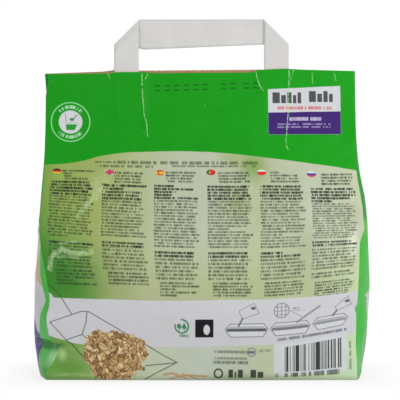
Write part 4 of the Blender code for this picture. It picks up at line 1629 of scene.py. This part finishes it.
# The side's fields, as (height in metres, colour)
STRIP_FIELDS = (
    (0.0, (70, 172, 70)), (0.012, (88, 186, 84)), (0.040, (56, 182, 54)), (0.118, (66, 186, 56)),
    (0.1295, (88, 190, 74)), (0.1335, (24, 146, 34)), (0.255, SIDE_GREEN),
)
SIDE_FIELDS = (
    (0.0, (66, 44, 116)), (0.0380, (72, 50, 124)), (0.0386, (200, 203, 203)), (0.0770, (200, 203, 200)),
    (0.0785, (202, 176, 146)), (0.0990, (202, 184, 154)), (0.1030, (198, 204, 172)),
    (0.1260, (190, 200, 158)), (0.1290, (70, 156, 62)), (0.1400, SIDE_GREEN), (0.255, SIDE_GREEN),
)

# The bulge at the left gusset's foot: bands of the strip as (low, high, colour, strength), the upper band being
# painted shade in the fold over the bulge, and the bulge's painted highlight as y, z and radii
BULGE_BANDS = ((0.0, 0.011, (40, 148, 44), 0.7), (0.0245, 0.031, (14, 104, 20), 0.85))
BULGE_HIGHLIGHT = (-0.047, 0.0195, 0.011, 0.010)


def side_print():
    """Gussets: green down to the fill, then a light green strip by the near crease and pale fields past it, with
    painted shade and a painted highlight on the bulge at the left foot.
    """
    ink = Ink("side_print", PRINT_ROUGHNESS)
    x, y, z = ink.use_place()
    place = ink.at
    ink.use_print_map()
    height = ink.times(ink.minus(1.0, ink.math("DIVIDE", ink.y, PHOTO)), HEIGHT)
    across = ink.math("DIVIDE", ink.x, PHOTO)
    strip = ink.over(across, 0.5, 0.006)
    slanted = ink.plus(height, ink.times(ink.minus(across, 0.46), 0.047))
    fields = ink.ramp(slanted, SIDE_FIELDS, 0.0, HEIGHT)
    colour = ink.lay(fields, ink.ramp(height, STRIP_FIELDS, 0.0, HEIGHT), strip)
    left_strip = ink.both(strip, ink.under(x, 0.0, 0.001), ink.under(y, 0.0, 0.001))
    # bands at the left foot; the upper one is painted shade in the fold over the bulge
    for low, high, tone, strength in BULGE_BANDS:
        band = ink.both(left_strip, ink.over(z, low, 0.003), ink.under(z, high, 0.002))
        colour = ink.lay(colour, tone, band, strength)
    ink.x, ink.y = y, z
    # painted highlight on the bulge
    colour = ink.lay(colour, PAINTED_HIGHLIGHT_GREEN, ink.both(left_strip, ink.glow(*BULGE_HIGHLIGHT)), 0.75)
    specks = ink.times(ink.over(ink.noise(420.0, 1.0, place), 0.74, 0.05), 0.6)
    colour = ink.lay(colour, SPECK_GREEN, specks)
    return ink.finish(colour, *PRINT_FIBRE)


# The panel behind, as (height in metres, colour), and how its fields rise towards both sides
FAR_FIELDS = (
    (0.0, (66, 44, 116)), (0.036, (72, 50, 124)), (0.0375, (200, 203, 205)), (0.076, (200, 203, 205)),
    (0.0775, (150, 184, 96)), (0.150, (186, 198, 150)), (0.187, (180, 196, 140)), (0.189, (27, 152, 28)),
    (0.255, (26, 148, 28)),
)
FAR_MEADOW = (0.0775, 0.187)
FAR_RISE = 0.9


def far_print():
    """The panel behind: plain fields like the others, with no sign on them."""
    ink = Ink("far_print", PRINT_ROUGHNESS)
    x, _, z = ink.use_place()
    level = ink.plus(z, ink.times(ink.times(x, x), FAR_RISE))
    colour = ink.ramp(level, FAR_FIELDS, 0.0, HEIGHT)
    soft = ink.over(ink.noise(26.0, 2.0, ink.at), 0.6, 0.3)
    low, high = FAR_MEADOW
    meadow = ink.both(soft, ink.over(level, low, 0.002), ink.under(level, high, 0.002))
    colour = ink.lay(colour, (90, 150, 66), meadow, 0.35)
    return ink.finish(colour, *PRINT_FIBRE)


KRAFT_TONES = ((0.25, (140, 106, 76)), (0.5, KRAFT), (0.75, (200, 164, 130)))
STRIP_TONES = ((0.3, (206, 204, 202)), (0.5, STRIP_GREY), (0.7, (213, 211, 210)))


def kraft_paper():
    """Brown kraft with darker fibres."""
    ink = Ink("kraft_paper", 0.85)
    ink.use_place()
    return ink.finish(ink.ramp(ink.noise(900.0, 4.0, ink.at), KRAFT_TONES), 700.0, 0.0002)


def strip_paper():
    """Pale grey paper, a little mottled and soft."""
    ink = Ink("strip_paper", 0.62, 0.2)
    ink.use_place()
    return ink.finish(ink.ramp(ink.noise(45.0, 3.0, ink.at), STRIP_TONES), 420.0, 0.00015)


# Studio: floor and lamps
FLOOR_RADIUS = 3.0
FLOOR_TONE = (0.93, 0.93, 0.93, 1.0)
SHADOW_SHARE = 0.20
SHADOW_REACH = 0.045
WORLD_LEVEL = 0.50
KEY_POWER = 16.0
FILL_POWER = 5.0
KEY_PLACE, KEY_AIM, KEY_SIZE = (1.1, -1.5, 0.9), (0.0, 0.0, 0.13), (1.0, 1.0)
FILL_PLACE, FILL_AIM, FILL_SIZE = (-0.6, -1.6, 0.35), (0.0, 0.0, 0.10), (1.4, 0.8)


def make_floor():
    """A pale floor, white to the camera past the sack's foot, where it keeps the contact shadow."""
    bm = bmesh.new()
    bmesh.ops.create_circle(bm, cap_ends=True, segments=96, radius=FLOOR_RADIUS)
    mesh = bpy.data.meshes.new("floor")
    bm.to_mesh(mesh)
    bm.free()
    floor = bpy.data.objects.new("floor", mesh)
    floor.location.z = -0.0001
    bpy.context.scene.collection.objects.link(floor)
    paint = Ink("floor", 0.9, 0.0)
    paint.shader.inputs["Base Color"].default_value = FLOOR_TONE
    x, y, _ = paint.use_place()
    dx = paint.math("MAXIMUM", paint.minus(paint.math("ABSOLUTE", x), HALF_WIDTH), 0.0)
    dy = paint.math("MAXIMUM", paint.minus(paint.math("ABSOLUTE", y), HALF_DEPTH), 0.0)
    away = paint.math("SQRT", paint.plus(paint.times(dx, dx), paint.times(dy, dy)))
    white = paint.node("ShaderNodeEmission")
    ray = paint.node("ShaderNodeLightPath")
    seen = paint.either(*(ray.outputs[f"Is {kind} Ray"] for kind in ("Camera", "Glossy", "Transmission")))
    share = paint.times(seen, paint.map(away, 0.0, SHADOW_REACH, 1.0 - SHADOW_SHARE, 1.0))
    mixed = paint.node("ShaderNodeMixShader")
    paint.put(mixed.inputs["Fac"], share)
    paint.put(mixed.inputs[1], paint.shader.outputs[0])
    paint.put(mixed.inputs[2], white.outputs[0])
    paint.put(paint.tree.nodes["Material Output"].inputs["Surface"], mixed.outputs[0])
    mesh.materials.append(paint.material)


def add_lamp(name, place, aim, size, power):
    data = bpy.data.lights.new(name, "AREA")
    data.shape = "RECTANGLE"
    data.size, data.size_y = size
    data.energy = power
    lamp = bpy.data.objects.new(name, data)
    lamp.location = place
    lamp.rotation_euler = (Vector(aim) - Vector(place)).to_track_quat("-Z", "Y").to_euler()
    bpy.context.scene.collection.objects.link(lamp)


def make_light():
    """Even studio light: a white world seen by the camera, a softer one on the object, and two large lamps."""
    world = bpy.data.worlds.new("studio")
    bpy.context.scene.world = world
    world.use_nodes = True
    tree = world.node_tree
    seen = tree.nodes["Background"]
    seen.inputs["Color"].default_value = (1.0, 1.0, 1.0, 1.0)
    seen.inputs["Strength"].default_value = 1.0
    lit = tree.nodes.new("ShaderNodeBackground")
    lit.inputs["Color"].default_value = (1.0, 1.0, 1.0, 1.0)
    lit.inputs["Strength"].default_value = WORLD_LEVEL
    path = tree.nodes.new("ShaderNodeLightPath")
    direct = tree.nodes.new("ShaderNodeMath")
    direct.operation = "MAXIMUM"
    any_seen = tree.nodes.new("ShaderNodeMath")
    any_seen.operation = "MAXIMUM"
    mixed = tree.nodes.new("ShaderNodeMixShader")
    for source, target in (
        (path.outputs["Is Camera Ray"], direct.inputs[0]),
        (path.outputs["Is Glossy Ray"], direct.inputs[1]),
        (direct.outputs[0], any_seen.inputs[0]),
        (path.outputs["Is Transmission Ray"], any_seen.inputs[1]),
        (any_seen.outputs[0], mixed.inputs["Fac"]),
        (lit.outputs[0], mixed.inputs[1]),
        (seen.outputs[0], mixed.inputs[2]),
        (mixed.outputs[0], tree.nodes["World Output"].inputs["Surface"]),
    ):
        tree.links.new(source, target)
    add_lamp("key", KEY_PLACE, KEY_AIM, KEY_SIZE, KEY_POWER)
    add_lamp("fill", FILL_PLACE, FILL_AIM, FILL_SIZE, FILL_POWER)


def main():
    make_camera()
    sack = make_sack()
    handle = make_handle()
    patch = make_patch()
    kraft = kraft_paper()
    for material in (side_print(), far_print(), kraft, *(near_print(*each) for each in NEAR_PRINTS)):
        sack.data.materials.append(material)
    handle.data.materials.append(strip_paper())
    patch.data.materials.append(kraft)
    make_floor()
    make_light()
    bpy.context.scene.view_settings.view_transform = "Standard"


main()
